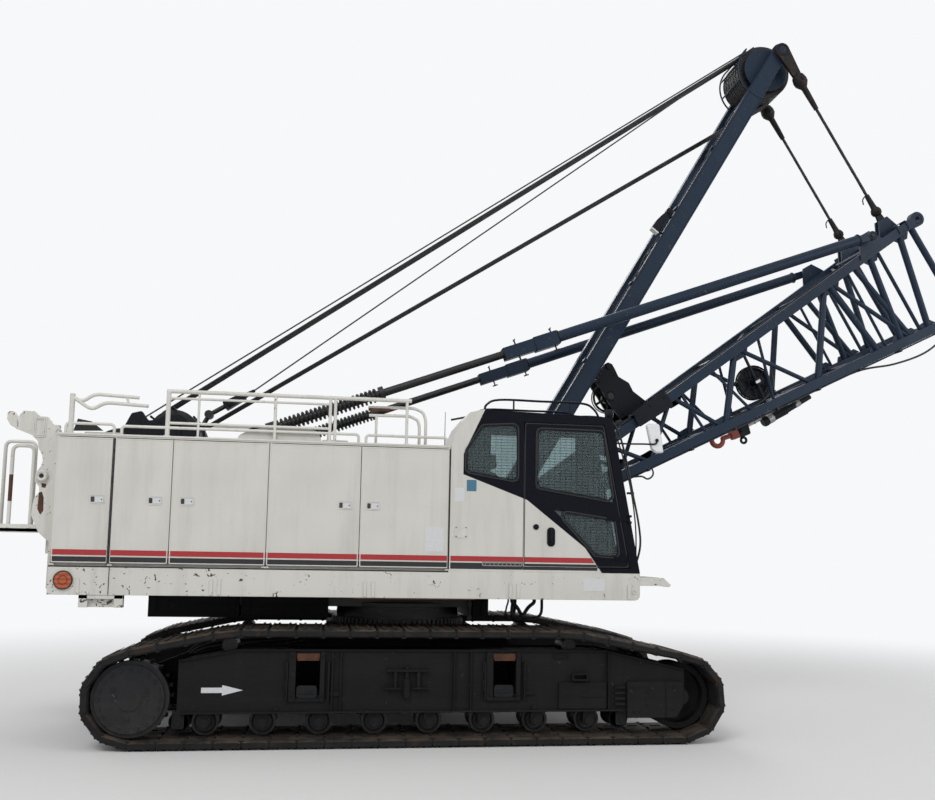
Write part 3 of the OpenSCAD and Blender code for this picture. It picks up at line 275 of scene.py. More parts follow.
M["rubber"] = plain("black_rubber", (0.014, 0.014, 0.015), 0.65)
M["plastic"] = plain("dark_plastic", (0.022, 0.022, 0.024), 0.5)
M["seat"] = plain("seat_cloth", (0.06, 0.06, 0.065), 0.9, scale=60.0)
M["red"] = plain("red_stripe", (0.36, 0.018, 0.022), 0.4, vary=0.12, scale=4.0)
M["ink"] = plain("black_stripe", (0.01, 0.01, 0.013), 0.4, vary=0.2, scale=4.0)
M["plate"] = plain("bare_plate", (0.62, 0.63, 0.63), 0.35, vary=0.15, scale=12.0)
M["blue"] = plain("blue_plate", (0.05, 0.16, 0.24), 0.35, vary=0.15, scale=12.0)
M["hook"] = plain("hook_red", (0.26, 0.034, 0.02), 0.5, vary=0.5, scale=14.0)
M["mirror_white"] = plain("mirror_white", (0.72, 0.73, 0.74), 0.3, vary=0.1, coat=0.3)


def glass_material(name, tint):
    m, t, p = node_tree(name)
    smear = ramp(t, noise(t, 3.0, 3.0), ((0.35, 0.02), (0.75, 0.07)))
    t.links.new(smear, p.inputs["Roughness"])
    t.links.new(mix(t, noise(t, 2.0, 3.0), tint, tuple(c * 0.9 for c in tint)), p.inputs["Base Color"])
    p.inputs["Transmission Weight"].default_value = 0.88
    p.inputs["IOR"].default_value = 1.12
    p.inputs["Specular IOR Level"].default_value = 0.6
    return m


M["glass_dark"] = plain("screen_glass", (0.02, 0.025, 0.03), 0.08, vary=0.1)
M["glass"] = glass_material("cab_glass_tint", (0.5, 0.6, 0.61))


def lamp_material():
    m, t, p = node_tree("amber_lens")
    wave = t.nodes.new("ShaderNodeTexWave")
    wave.wave_type = "RINGS"
    wave.inputs["Scale"].default_value = 9.0
    vec = xyz(t)[0]
    t.links.new(vec, wave.inputs["Vector"])
    t.links.new(mix(t, wave.outputs["Fac"], (0.46, 0.085, 0.01), (0.26, 0.04, 0.006)),
                p.inputs["Base Color"])
    p.inputs["Roughness"].default_value = 0.18
    p.inputs["Coat Weight"].default_value = 0.5
    bump(t, p, wave.outputs["Fac"], 0.3, 0.003)
    return m


M["amber"] = lamp_material()

# The cab's black field lies over a falling edge: lines as (x, z, slope) in crane coordinates
CAB_EDGE = ((0.531, 2.876, -0.368), (1.175, 2.639, -0.777), (1.842, 2.121, -1.418))


def cab_paint():
    """White below and behind a falling edge, black above it."""
    m, t, p = node_tree("cab_two_tone")
    vec, pos = xyz(t)
    x = math_node(t, "ADD", pos[0], MID)
    field = None
    for x0, z0, slope in CAB_EDGE:
        line = math_node(t, "SUBTRACT", pos[2], math_node(t, "ADD", math_node(t, "MULTIPLY", x, slope),
                z0 - slope * x0))
        field = line if field is None else math_node(t, "MAXIMUM", field, line)
    # Rear pillar: white behind a line that leans forward with height
    pillar = math_node(t, "SUBTRACT", x, math_node(t, "ADD", math_node(t, "MULTIPLY", pos[2], 0.46),
            -0.985))
    pillar = math_node(t, "MAXIMUM", pillar, math_node(t, "SUBTRACT", x, 0.7))
    rear = math_node(t, "SUBTRACT", x, 0.455)
    both = math_node(t, "MINIMUM", math_node(t, "MINIMUM", field, pillar), rear)
    inside = math_node(t, "MULTIPLY", both, 400.0, clamp=True)
    fine = ramp(t, noise(t, 30.0, 6.0, 0.7), ((0.45, 0.0), (0.8, 1.0)))
    fade = ramp(t, noise(t, 0.9, 3.0), ((0.35, 0.0), (0.7, 1.0)))
    streak = ramp(t, noise(t, 1.0, 5.0, 0.65, stretched(t, vec, (7.0, 7.0, 0.6))),
                  ((0.5, 0.0), (0.75, 0.16)))
    white = mix(t, streak, mix(t, fade, WHITE, WHITE_DARK), (0.2, 0.17, 0.14))
    black = mix(t, fine, (0.003, 0.0035, 0.007), (0.006, 0.007, 0.011))
    t.links.new(mix(t, inside, white, black), p.inputs["Base Color"])
    t.links.new(ramp(t, noise(t, 6.0, 5.0), ((0.3, 0.26), (0.7, 0.46))), p.inputs["Roughness"])
    p.inputs["Specular IOR Level"].default_value = 0.1
    bump(t, p, noise(t, 90.0, 3.0), 0.05, 0.003)
    return m


M["cab"] = cab_paint()


def deck_paint():
    """Cream side beams; the belly between and below them is painted dark, a painted shade for the shadow
    under the deck.
    """
    m, t, p = node_tree("deck_cream_and_painted_shade")
    vec, pos = xyz(t)
    # Mask of the cream beams and of all above the deck top; the rest gets the painted shade below
    side = math_node(t, "SUBTRACT", math_node(t, "ABSOLUTE", pos[1]), 1.385)
    above = math_node(t, "SUBTRACT", pos[2], 1.86)
    light = math_node(t, "MULTIPLY", math_node(t, "MAXIMUM", side, above), 300.0, clamp=True)
    fade = ramp(t, noise(t, 0.9, 3.0), ((0.35, 0.0), (0.7, 1.0)))
    streak = ramp(t, noise(t, 1.0, 5.0, 0.65, stretched(t, vec, (7.0, 7.0, 0.6))),
                  ((0.5, 0.0), (0.75, 0.22)))
    cream = mix(t, streak, mix(t, fade, WHITE, WHITE_DARK), (0.2, 0.17, 0.14))
    # Chips, most of them on the rear third
    share = t.nodes.new("ShaderNodeMapRange")
    share.inputs["From Min"].default_value = 0.0 - MID
    share.inputs["From Max"].default_value = -3.4 - MID
    share.inputs["To Min"].default_value = -0.02
    share.inputs["To Max"].default_value = 0.036
    t.links.new(pos[0], share.inputs["Value"])
    spots = math_node(t, "ADD", noise(t, 15.0, 2.5, 0.55, vec, 1.1), share.outputs[0])
    spots = ramp(t, spots, ((0.672, 0.0), (0.688, 1.0)))
    cream = mix(t, spots, cream, (0.075, 0.045, 0.03))
    # Painted shade: the belly between the beams and under the deck top gets a dark, mottled colour in place
    # of its shadow
    belly_shade = mix(t, noise(t, 4.0, 5.0), (0.016, 0.015, 0.015), (0.036, 0.033, 0.03))
    t.links.new(mix(t, light, belly_shade, cream), p.inputs["Base Color"])
    t.links.new(ramp(t, noise(t, 6.0, 5.0), ((0.3, 0.38), (0.7, 0.6))), p.inputs["Roughness"])
    p.inputs["Specular IOR Level"].default_value = 0.4
    bump(t, p, noise(t, 90.0, 3.0), 0.06, 0.004)
    return m


M["deck_cream_and_shade"] = deck_paint()

NODE_MATERIAL = {"carbody": "frame", "slew_ring": "grease", "side_frame_right": "frame",
                 "side_frame_left": "frame", "track_right": "track", "track_left": "track",
                 "final_drives": "drive", "idlers": "frame", "rollers": "grease",
                 "upper_frame": "deck_cream_and_shade", "counterweight_bracket": "bracket", "rear_platform": "rail",
                 "house": "body", "engine": "steel", "drum_front": "grease", "drum_rear": "grease",
                 "drum_boom": "grease", "gantry": "black", "gantry_sheaves": "grease", "cab": "cab",
                 "cab_glass": "glass", "cab_interior": "seat", "cab_door": "cab", "door_glass": "glass",
                 "guard_rails": "rail", "side_mirror": "mirror_white", "lamps": "amber",
                 "tank_left": "body", "boom": "slate", "boom_deflector": "black", "cable_reel": "plastic",
                 "hook": "hook", "mast": "slate", "mast_sheaves": "grease", "pendants": "pendant",
                 "backstop_rods": "grease", "backstop_tubes": "slate"}
for name, obj in nodes.items():
    key = NODE_MATERIAL.get(name, "body")
    obj.data.materials.clear()
    obj.data.materials.append(M[key])


# Mesh pieces
SLOTS = {
    "dark_steel": ("rope", "galv", "grease", "steel", "jaw"), "plastic": ("rubber", "plastic"),
    "glass": ("glass_dark",),
    "black_paint": ("black", "ink"), "rust_steel": ("rust", "pendant"), "boom_paint": ("slate",),
    "track_steel": ("track",),
    "frame_paint": ("frame", "drive"), "hook_paint": ("red", "hook"),
    "body_paint": ("plate", "body", "rail", "bracket", "deck_cream_and_shade", "mirror_white", "blue")}
SLOT_OF = {material: slot for slot, materials in SLOTS.items() for material in materials}


class Piece:
    """Collects primitives in the row frame and makes one object of them."""

    def __init__(self, name, body, material, slot=None):
        self.name, self.body, self.material, self.slot = name, body, material, slot or SLOT_OF[material]
        self.verts, self.faces = [], []

    def add(self, verts, faces):
        n = len(self.verts)
        self.verts += [tuple(v) for v in verts]
        self.faces += [tuple(n + i for i in f) for f in faces]

    def box(self, x0, x1, y0, y1, z0, z1, where=at):
        v = [where(x, y, z) for x in (x0, x1) for y in (y0, y1) for z in (z0, z1)]
        self.add(v, [(0, 1, 3, 2), (4, 6, 7, 5), (0, 4, 5, 1), (2, 3, 7, 6), (0, 2, 6, 4), (1, 5, 7, 3)])

    def prism(self, outline, y0, y1, where=at):
        """A plate cut to an outline in the XZ plane, from y0 to y1."""
        n = len(outline)
        v = [where(x, y0, z) for x, z in outline] + [where(x, y1, z) for x, z in outline]
        f = [tuple(range(n)), tuple(range(2 * n - 1, n - 1, -1))]
        f += [(k, (k + 1) % n, n + (k + 1) % n, n + k) for k in range(n)]
        self.add(v, f)

    def tube(self, points, radius, sides=10, closed=False, caps=True):
        """A round bar swept along points; radius is one value or one for each point."""
        pts = [Vector(p) for p in points]
        n = len(pts)
        radii = [radius] * n if isinstance(radius, (int, float)) else list(radius)
        ring_up = None
        verts = []
        for k in range(n):
            if closed:
                d = (pts[(k + 1) % n] - pts[k - 1]).normalized()
            else:
                d = (pts[min(k + 1, n - 1)] - pts[max(k - 1, 0)]).normalized()
            if ring_up is None:
                ring_up = d.orthogonal().normalized()
            ring_up = (ring_up - d * ring_up.dot(d)).normalized()
            side = d.cross(ring_up)
            for j in range(sides):
                a = 2 * pi * j / sides
                verts.append(pts[k] + (ring_up * cos(a) + side * sin(a)) * radii[k])
        faces = []
        for k in range(n if closed else n - 1):
            a, b = k * sides, ((k + 1) % n) * sides
            for j in range(sides):
                i = (j + 1) % sides
                faces.append((a + j, a + i, b + i, b + j))
        if caps and not closed:
            faces.append(tuple(range(sides - 1, -1, -1)))
            faces.append(tuple(range((n - 1) * sides, n * sides)))
        self.add(verts, faces)

    def rod(self, a, b, radius, sides=10, where=at, caps=True):
        """A straight bar from a to b, both given in the frame of where."""
        self.tube([where(*a), where(*b)], radius, sides, caps=caps)

    def across(self, x, y0, y1, z, radius, sides=10, where=at):
        """A straight bar along Y."""
        self.tube([where(x, y0, z), where(x, y1, z)], radius, sides)

    def bend(self, points, radius, sides=8, where=at, steps=6):
        """A hose or bar along a curve through points in the frame of where."""
        self.tube(smooth_path([where(*p) for p in points], steps), radius, sides)

    def disc(self, centre, radius, thick, sides=20, axis=(0, 1, 0)):
        c, a = Vector(centre), Vector(axis).normalized()
        self.tube([c - a * thick / 2, c + a * thick / 2], radius, sides)

    def bolt(self, centre, axis, radius=0.014, height=0.01):
        c, a = Vector(centre), Vector(axis).normalized()
        self.tube([c - a * 0.002, c + a * height], radius, 6)

    def ring(self, centre, radius, thick, count=32, sides=8, axis=(0, 1, 0)):
        c, a = Vector(centre), Vector(axis).normalized()
        u = a.orthogonal().normalized()
        v = a.cross(u)
        self.tube([c + (u * cos(2 * pi * k / count) + v * sin(2 * pi * k / count)) * radius
                   for k in range(count)], thick, sides, closed=True)

    def done(self, bevel=0.0, smooth=35.0, segments=2, blend=None):
        me = bpy.data.meshes.new(self.name)
        me.from_pydata(self.verts, [], self.faces)
        me.validate()
        me.materials.append(M[self.material])
        o = bpy.data.objects.new(self.name, me)
        bpy.context.scene.collection.objects.link(o)
        bm = bmesh.new()
        bm.from_mesh(me)
        bmesh.ops.recalc_face_normals(bm, faces=bm.faces)
        bm.to_mesh(me)
        bm.free()
        for p in me.polygons:
            p.use_smooth = True
        me.set_sharp_from_angle(angle=radians(smooth))
        if bevel:
            b = o.modifiers.new("edge", "BEVEL")
            b.width = bevel
            b.segments = segments
            b.limit_method = "ANGLE"
            b.angle_limit = radians(40)
        if blend:
            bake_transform(o)
        else:
            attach(o, self.body)
        return o


def rounded(points, radius, steps=4):
    """An outline with its corners rounded."""
    out = []
    n = len(points)
    for k in range(n):
        p, a, b = (Vector(points[k]), Vector(points[k - 1]), Vector(points[(k + 1) % n]))
        u, w = (a - p).normalized(), (b - p).normalized()
        half = acos(max(-1, min(1, u.dot(w)))) / 2
        reach = min(radius / tan(half), (a - p).length * 0.45, (b - p).length * 0.45)
        r = reach * tan(half)
        centre = p + (u + w).normalized() * (r / sin(half))
        s, e = p + u * reach - centre, p + w * reach - centre
        a0, a1 = atan2(s.y, s.x), atan2(e.y, e.x)
        turn = (a1 - a0 + pi) % (2 * pi) - pi
        for j in range(steps + 1):
            ang = a0 + turn * j / steps
            out.append((centre.x + r * cos(ang), centre.y + r * sin(ang)))
    return out


def rect(x0, x1, z0, z1, radius, steps):
    """A rounded rectangle."""
    return rounded(((x0, z0), (x1, z0), (x1, z1), (x0, z1)), radius, steps)


def turns(count, start=0.0):
    """Angles evenly round a circle."""
    return [start + 2 * pi * k / count for k in range(count)]


def about(cx, cz, radius, angle, y, where=at):
    """The point at an angle on a circle round (cx, cz)."""
    return where(cx + radius * cos(angle), y, cz + radius * sin(angle))


def smooth_path(points, steps=6):
    """A Catmull-Rom curve through points."""
    pts = [Vector(p) for p in points]
    pts = [pts[0] * 2 - pts[1]] + pts + [pts[-1] * 2 - pts[-2]]
    out = []
    for k in range(1, len(pts) - 2):
        p0, p1, p2, p3 = pts[k - 1:k + 3]
        for j in range(steps):
            t = j / steps
            out.append(0.5 * ((2 * p1) + (p2 - p0) * t + (2 * p0 - 5 * p1 + 4 * p2 - p3) * t * t
                              + (3 * p1 - p0 - 3 * p2 + p3) * t ** 3))
    out.append(pts[-2])
    return out


def ring_plate(piece, outer, inner, y0, y1, where=at):
    """A flat frame between two outlines of as many points, from y0 to y1."""
    n = len(outer)
    v = [where(x, y, z) for y in (y0, y1) for loop in (outer, inner) for x, z in loop]
    f = []
    for k in range(n):
        j = (k + 1) % n
        f += [(k, j, n + j, n + k), (2 * n + k, 3 * n + k, 3 * n + j, 2 * n + j),
              (k, 2 * n + k, 2 * n + j, j), (n + k, n + j, 3 * n + j, 3 * n + k)]
    piece.add(v, f)


def offset(points, d):
    """A convex outline moved outwards by d."""
    n = len(points)
    area2 = sum(points[k - 1][0] * points[k][1] - points[k][0] * points[k - 1][1] for k in range(n))
    turn = 1 if area2 > 0 else -1
    lines = []
    for k in range(n):
        a, b = Vector(points[k]), Vector(points[(k + 1) % n])
        u = (b - a).normalized()
        lines.append((a + Vector((u.y, -u.x)) * d * turn, u))
    out = []
    for k in range(n):
        (p, u), (q, w) = lines[k - 1], lines[k]
        cross = u.x * w.y - u.y * w.x
        t = ((q.x - p.x) * w.y - (q.y - p.y) * w.x) / cross
        out.append(tuple(p + u * t))
    return out


def span_at(points, z):
    """Where a level line at height z crosses a convex outline."""
    xs = []
    for k in range(len(points)):
        (x0, z0), (x1, z1) = points[k - 1], points[k]
        if (z0 - z) * (z1 - z) < 0:
            xs.append(x0 + (x1 - x0) * (z - z0) / (z1 - z0))
    return (min(xs), max(xs)) if len(xs) > 1 else None


# Undercarriage

TRACK_Y, SHOE_W, SHOE_T, SHOES = 1.22, 0.86, 0.055, 52
REAR_R, FRONT_R = 1.02 / 2 - SHOE_T, 0.985 / 2 - SHOE_T
REAR_X, FRONT_X = -3.44 + REAR_R + SHOE_T, 3.44 - FRONT_R - SHOE_T
REAR_Z, FRONT_Z, RUN_Z = 1.02 / 2, 0.985 / 2, 1.229 - SHOE_T
CARRIERS = (-1.98, 1.69)


def track_path():
    def tangent(cx, cz, r, px, pz):
        return acos(r / hypot(px - cx, pz - cz))
    rear = atan2(RUN_Z - REAR_Z, CARRIERS[0] - REAR_X) + tangent(REAR_X, REAR_Z, REAR_R, CARRIERS[0], RUN_Z)
    front = atan2(RUN_Z - FRONT_Z, CARRIERS[1] - FRONT_X) - tangent(FRONT_X, FRONT_Z, FRONT_R, CARRIERS[1],
            RUN_Z)
    rt = (REAR_X + REAR_R * cos(rear), REAR_Z + REAR_R * sin(rear))
    ft = (FRONT_X + FRONT_R * cos(front), FRONT_Z + FRONT_R * sin(front))

    def line(p, q):
        return (0, dist(p, q), p[0], p[1], atan2(q[1] - p[1], q[0] - p[0]))

    def arc(x, z, r, start, sweep):
        return (1, r * abs(sweep), x, z, r, start, sweep)
    return [arc(REAR_X, REAR_Z, REAR_R, 1.5 * pi, rear - 1.5 * pi), line(rt, (CARRIERS[0], RUN_Z)),
            line((CARRIERS[0], RUN_Z), (CARRIERS[1], RUN_Z)), line((CARRIERS[1], RUN_Z), ft),
            arc(FRONT_X, FRONT_Z, FRONT_R, front, -0.5 * pi - front),
            line((FRONT_X, SHOE_T), (REAR_X, SHOE_T))]


PATH = track_path()
PATH_LEN = sum(p[1] for p in PATH)


def path_point(s):
    for p in PATH:
        if s <= p[1] or p is PATH[-1]:
            break
        s -= p[1]
    if p[0] == 0:
        return Vector((p[2] + s * cos(p[4]), p[3] + s * sin(p[4])))
    a = p[5] + p[6] * s / p[1]
    return Vector((p[2] + p[4] * cos(a), p[3] + p[4] * sin(a)))


# One cast shoe from the side, as (along the pitch, outwards); 0 is the chain line
SHOE_OUTLINE = ((-0.143, -0.006), (-0.134, -0.034), (-0.108, -0.04), (0.108, -0.04), (0.134, -0.034),
                (0.143, -0.006), (0.137, 0.034), (0.124, 0.0545), (0.098, 0.044), (-0.098, 0.044),
                (-0.124, 0.0545), (-0.137, 0.034))
KNUCKLES = ((-0.42, -0.3), (-0.2, -0.08), (0.08, 0.2), (0.3, 0.42))


def make_track(side, name, node):
    tr = Piece(name, "base", "track")
    pitch = PATH_LEN / SHOES
    for k in range(SHOES):
        a, b = path_point(k * pitch), path_point((k + 1) % SHOES * pitch)
        u = (b - a).normalized()
        n = Vector((-u.y, u.x))
        mid = (a + b) / 2
        length = (b - a).length / 0.288

        def where(along_u, y, out, mid=mid, u=u, n=n, length=length):
            p = mid + u * along_u * length + n * out
            return at(p.x, y, p.y)
        y0, y1 = side * (TRACK_Y - SHOE_W / 2), side * (TRACK_Y + SHOE_W / 2)
        # The plate narrows a little towards its ends across the width, as cast
        rows = []
        m = len(SHOE_OUTLINE)
        for y, shrink in ((y0, 0.62), (y0 + (y1 - y0) * 0.018, 0.9), (y0 + (y1 - y0) * 0.045, 1.0),
                          (y0 + (y1 - y0) * 0.955, 1.0), (y0 + (y1 - y0) * 0.982, 0.9), (y1, 0.62)):
            rows.append([where(x, y, 0.008 + (z - 0.008) * shrink) for x, z in SHOE_OUTLINE])
        faces = [tuple(range(m)), tuple(range(6 * m - 1, 5 * m - 1, -1))]
        for r in range(5):
            for j in range(m):
                i = (j + 1) % m
                faces.append((r * m + j, r * m + i, (r + 1) * m + i, (r + 1) * m + j))
        tr.add([v for row in rows for v in row], faces)
        # Hinge knuckles at the front end and two drive lugs inside
        for k0, k1 in KNUCKLES:
            tr.tube([where(0.144, side * (TRACK_Y + k0), -0.008),
                     where(0.144, side * (TRACK_Y + k1), -0.008)], 0.04, 8)
        for s in (-1, 1):
            tr.box(-0.055, 0.055, side * TRACK_Y + s * 0.205 - 0.02, side * TRACK_Y + s * 0.205 + 0.02,
                   -0.048, -0.03, where)
        # Worn ribs over the sole
        for x in (-0.06, 0.06):
            tr.box(x - 0.012, x + 0.012, y0 + (y1 - y0) * 0.06, y0 + (y1 - y0) * 0.94, 0.052, 0.0565, where)
    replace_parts(tr.done(smooth=32), node)


make_track(-1, "track_shoes_right", "track_right")
make_track(1, "track_shoes_left", "track_left")


# Middle of each axle beam's end, and the track rollers, along X
AXLES = (-1.155, 0.95)
ROLLER_XS = tuple(-2.2 + 0.585 * k for k in range(8))
END_ROLLERS = (-2.462, 2.262)
ROLLER_Z = 0.2456


def undercarriage(side, word):
    y = side * SIDE_Y

    def out(d):
        return y + side * d
    p = Piece("frame_fittings_" + word, "base", "frame")
    # Flanges along the outer plate, and stiffeners
    p.box(-2.44, 2.27, out(-0.005), out(0.045), 0.346, 0.366)
    for xa, za, xb, zb in ((-2.465, 0.893, -1.86, 1.003), (-1.86, 1.003, 2.08, 1.003),
            (2.08, 1.003, 2.975, 0.801)):
        p.prism(((xa, za - 0.02), (xb, zb - 0.02), (xb, zb), (xa, za)), out(-0.005), out(0.022))
    for x in (-0.905, -0.815, 0.395, 0.575, 2.11):
        p.box(x - 0.008, x + 0.008, out(-0.005), out(0.04), 0.366, 0.985)
    # Each axle end: a dark recess between a top bar and a jaw, with slit bars beside it
    for cx in AXLES:
        for x0, x1 in ((-0.205, -0.13), (0.122, 0.172)):
            p.prism(rect(cx + x0, cx + x1, 0.462, 0.98, 0.015, 2), out(-0.004), out(0.03))
        p.box(cx - 0.13, cx + 0.122, out(-0.004), out(0.024), 0.462, 0.5)
        for x in (cx - 0.218, cx + 0.214):
            p.box(x - 0.009, x + 0.009, out(-0.003), out(0.046), 0.47, 0.88)
        for z in (0.62, 0.82):
            p.rod((cx - 0.232, out(0.02), z - 0.06), (cx - 0.232, out(0.02), z + 0.06), 0.016, 8)
        for bx in (cx - 0.168, cx + 0.147):
            for bz in (0.52, 0.93):
                p.bolt(at(bx, out(0.03), bz), (0, side, 0), 0.012, 0.01)
    # Pads under the front plates of the axle ends
    for x in (-0.871, 1.225):
        p.prism(rect(x - 0.06, x + 0.06, 0.52, 0.57, 0.02, 3), out(-0.002), out(0.02))
    # Locking bracket in the middle: a shelf on two legs with feet, and a post between them
    p.box(-0.341, 0.121, out(-0.003), out(0.06), 0.776, 0.796)
    for x in (-0.239, 0.009):
        p.box(x - 0.016, x + 0.016, out(-0.003), out(0.05), 0.606, 0.778)
    for x0, x1 in ((-0.353, -0.177), (-0.055, 0.121)):
        p.box(x0, x1, out(-0.003), out(0.055), 0.59, 0.608)
    p.rod((-0.115, out(0.02), 0.5), (-0.115, out(0.02), 0.7), 0.04, 16)
    p.rod((-0.115, out(0.02), 0.7), (-0.115, out(0.02), 0.776), 0.022, 12)
    p.rod((-0.115, out(0.02), 0.796), (-0.115, out(0.02), 0.825), 0.028, 12)
    # Drain plugs
    for x in (-1.483, 1.274):
        p.disc(at(x, out(0.012), 0.385), 0.028, 0.03, 12)
        p.bolt(at(x, out(0.027), 0.385), (0, side, 0), 0.016, 0.01)
    # Tool box and cast step
    p.prism(rect(1.549, 2.085, 0.372, 0.655, 0.012, 2), out(-0.003), out(0.028))
    p.box(1.8, 2.085, out(0.026), out(0.034), 0.494, 0.506)
    ring_plate(p, rect(1.69, 1.875, 0.675, 0.755, 0.015, 2),
               rect(1.71, 1.855, 0.692, 0.738, 0.01, 2), out(-0.003), out(0.06))
    ring_plate(p, rect(1.487, 1.668, 0.905, 0.965, 0.012, 2),
               rect(1.505, 1.65, 0.918, 0.952, 0.008, 2), out(-0.003), out(0.012))
    # Idler yoke plate with its seam and bolts
    p.prism(rounded(((2.319, 0.272), (2.88, 0.272), (2.965, 0.4), (2.965, 0.664), (2.319, 0.664)), 0.01,
                    2), out(-0.003), out(0.042))
    p.box(2.76, 2.775, out(0.04), out(0.05), 0.28, 0.655)
    for bx, bz in ((2.4, 0.34), (2.46, 0.34), (2.4, 0.6), (2.46, 0.6), (2.55, 0.55), (2.55, 0.41),
                   (2.86, 0.6), (2.84, 0.36)):
        p.bolt(at(bx, out(0.042), bz), (0, side, 0), 0.012, 0.01)
    # Track tension screw behind the yoke
    p.rod((2.13, out(-0.12), 0.5), (2.33, out(-0.12), 0.5), 0.045, 12)
    for z in (0.42, 0.48, 0.54, 0.6):
        p.box(2.18, 2.3, out(-0.003), out(0.03), z - 0.014, z + 0.014)
    p.done(bevel=0.003, segments=1)

    # Jaw and top bar at the axle ends, and the light bolt of the lock
    r = Piece("axle_jaws_" + word, "base", "jaw")
    for cx in AXLES:
        r.prism(rect(cx - 0.118, cx + 0.095, 0.5, 0.628, 0.03, 4), side * 1.47, side * 1.515)
        r.box(cx - 0.085, cx + 0.062, side * 1.5, side * 1.528, 0.548, 0.566)
    r.disc(at(-0.105, side * 1.545, 0.553), 0.018, 0.02, 12)
    r.done(bevel=0.003, segments=2, smooth=40)
    r = Piece("axle_bars_" + word, "base", "rust")
    for cx in AXLES:
        r.box(cx - 0.125, cx + 0.118, side * 1.455, side * 1.512, 0.902, 0.962)
        r.box(cx - 0.118, cx + 0.11, side * 1.5, side * 1.522, 0.886, 0.904)
    r.done(bevel=0.004, segments=2, smooth=40)
    h = Piece("roller_caps_" + word, "base", "frame", "dark_steel")
    for x in ROLLER_XS:
        h.disc(at(x, side * 1.512, ROLLER_Z), 0.052, 0.022, 16)
        h.ring(at(x, side * 1.52, ROLLER_Z), 0.04, 0.006, 16, 6)
        for a in range(4):
            h.bolt(about(x, ROLLER_Z, 0.036, a * 1.571 + 0.785, side * 1.522), (0, side, 0), 0.007, 0.006)
        h.ring(at(x, side * (TRACK_Y + 0.168), ROLLER_Z), 0.105, 0.01, 24, 6)
    # The first and the last roller, close to the drive and to the idler
    for x in END_ROLLERS:
        h.across(x, side * (TRACK_Y - 0.165), side * (TRACK_Y + 0.165), ROLLER_Z, 0.09, 24)
        h.disc(at(x, side * (TRACK_Y + 0.15), ROLLER_Z), 0.11, 0.03, 24)
        h.disc(at(x, side * (TRACK_Y - 0.15), ROLLER_Z), 0.11, 0.03, 24)
        h.across(x, side * 1.1, side * 1.51, ROLLER_Z, 0.03, 12)
        h.prism(rect(x - 0.062, x + 0.062, 0.192, 0.375, 0.02, 3), side * 1.482, side * 1.502)
    h.disc(at(FRONT_X, side * 1.517, FRONT_Z), 0.085, 0.02, 20)
    h.done(smooth=35)
    # Travel arrow
    ar = Piece("travel_arrow_" + word, "base", "plate")
    ar.prism(((-2.243, 0.556), (-2.032, 0.556), (-2.032, 0.529), (-1.82, 0.583), (-2.032, 0.636),
              (-2.032, 0.61), (-2.243, 0.61)), out(-0.001), out(0.0015))
    ar.done()


undercarriage(-1, "right")
undercarriage(1, "left")

# Teeth and bolts of the slewing ring
SLEW_X = -0.11
g = Piece("slew_teeth", "base", "grease")
for a in turns(80):
    c, s = cos(a), sin(a)

    def where(x, y, z, c=c, s=s):
        return at(SLEW_X + x * c - y * s, x * s + y * c, z)
    g.add([where(x, y, z) for x, w in ((0.77, 0.022), (0.8, 0.012)) for y in (-w, w)
           for z in (1.185, 1.262)],
          [(0, 1, 3, 2), (4, 6, 7, 5), (0, 4, 5, 1), (2, 3, 7, 6), (0, 2, 6, 4), (1, 5, 7, 3)])
for a in turns(36):
    g.bolt(at(SLEW_X + 0.83 * cos(a), 0.83 * sin(a), 1.181), (0, 0, 1), 0.018, 0.02)
g.done(smooth=30)

# Carbody covers and travel-motor lines
cb = Piece("carbody_fittings", "base", "frame")
for side in (-1, 1):
    for x in (-0.62, 0.4):
        cb.prism(rect(x - 0.2, x + 0.2, 0.62, 1.02, 0.05, 3), side * 0.748, side * 0.765)
        for bx in (-0.17, 0.17):
            for bz in (0.66, 0.98):
                cb.bolt(at(x + bx, side * 0.765, bz), (0, side, 0), 0.012, 0.01)
    cb.box(-0.96, 0.74, side * 0.745, side * 0.8, 1.15, 1.18)
for x in (-0.972, 0.752):
    cb.box(x - 0.006, x + 0.006, -0.4, 0.4, 0.6, 1.05)
cb.done(bevel=0.003, segments=1)
tl = Piece("travel_lines", "base", "rubber")
for side in (-1, 1):
    for k, dz in enumerate((0.0, 0.055, 0.11)):
        tl.bend(((-0.8, side * 0.6, 1.05 - dz), (-1.05, side * 0.66, 1.08 - dz),
                 (-1.3, side * 0.8, 1.02 - dz), (-1.9, side * 0.86, 0.96 - dz),
                 (-2.5, side * 0.88, 0.86 - dz * 0.8), (-2.8, side * 0.925, 0.62 - dz * 0.6)), 0.016, 8)
tl.done(smooth=60)

# Final drives: a flat bolted disc before a darker ring, the sprocket drum and the arm's hub
fd = Piece("final_drive_discs", "base", "drive")
for side in (-1, 1):
    for radius, y0, y1 in ((0.388, 1.53, 1.592), (0.343, 1.56, 1.626), (0.328, 1.345, 1.59),
            (0.12, 1.6, 1.633), (0.35, 1.11, 1.37)):
        fd.tube([at(REAR_X, side * (y0 + 0.004), REAR_Z), at(REAR_X, side * (y0 + 0.012), REAR_Z),
                 at(REAR_X, side * (y1 - 0.005), REAR_Z), at(REAR_X, side * y1, REAR_Z)],
                [radius - 0.005, radius, radius, radius - 0.005], 56)
    for a in turns(20):
        fd.bolt(about(REAR_X, REAR_Z, 0.303, a, side * 1.626), (0, side, 0), 0.015, 0.014)
    for a in turns(3, 0.5):
        fd.disc(about(REAR_X, REAR_Z, 0.19, a, side * 1.628), 0.024, 0.012, 14)
        fd.bolt(about(REAR_X, REAR_Z, 0.19, a, side * 1.633), (0, side, 0), 0.013, 0.008)
    for a in turns(22):
        fd.box(REAR_X + 0.378 * cos(a) - 0.018, REAR_X + 0.378 * cos(a) + 0.018, side * 1.25, side * 1.33,
               REAR_Z + 0.378 * sin(a) - 0.018, REAR_Z + 0.378 * sin(a) + 0.018)
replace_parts(fd.done(smooth=40), "final_drives")

# House and deck

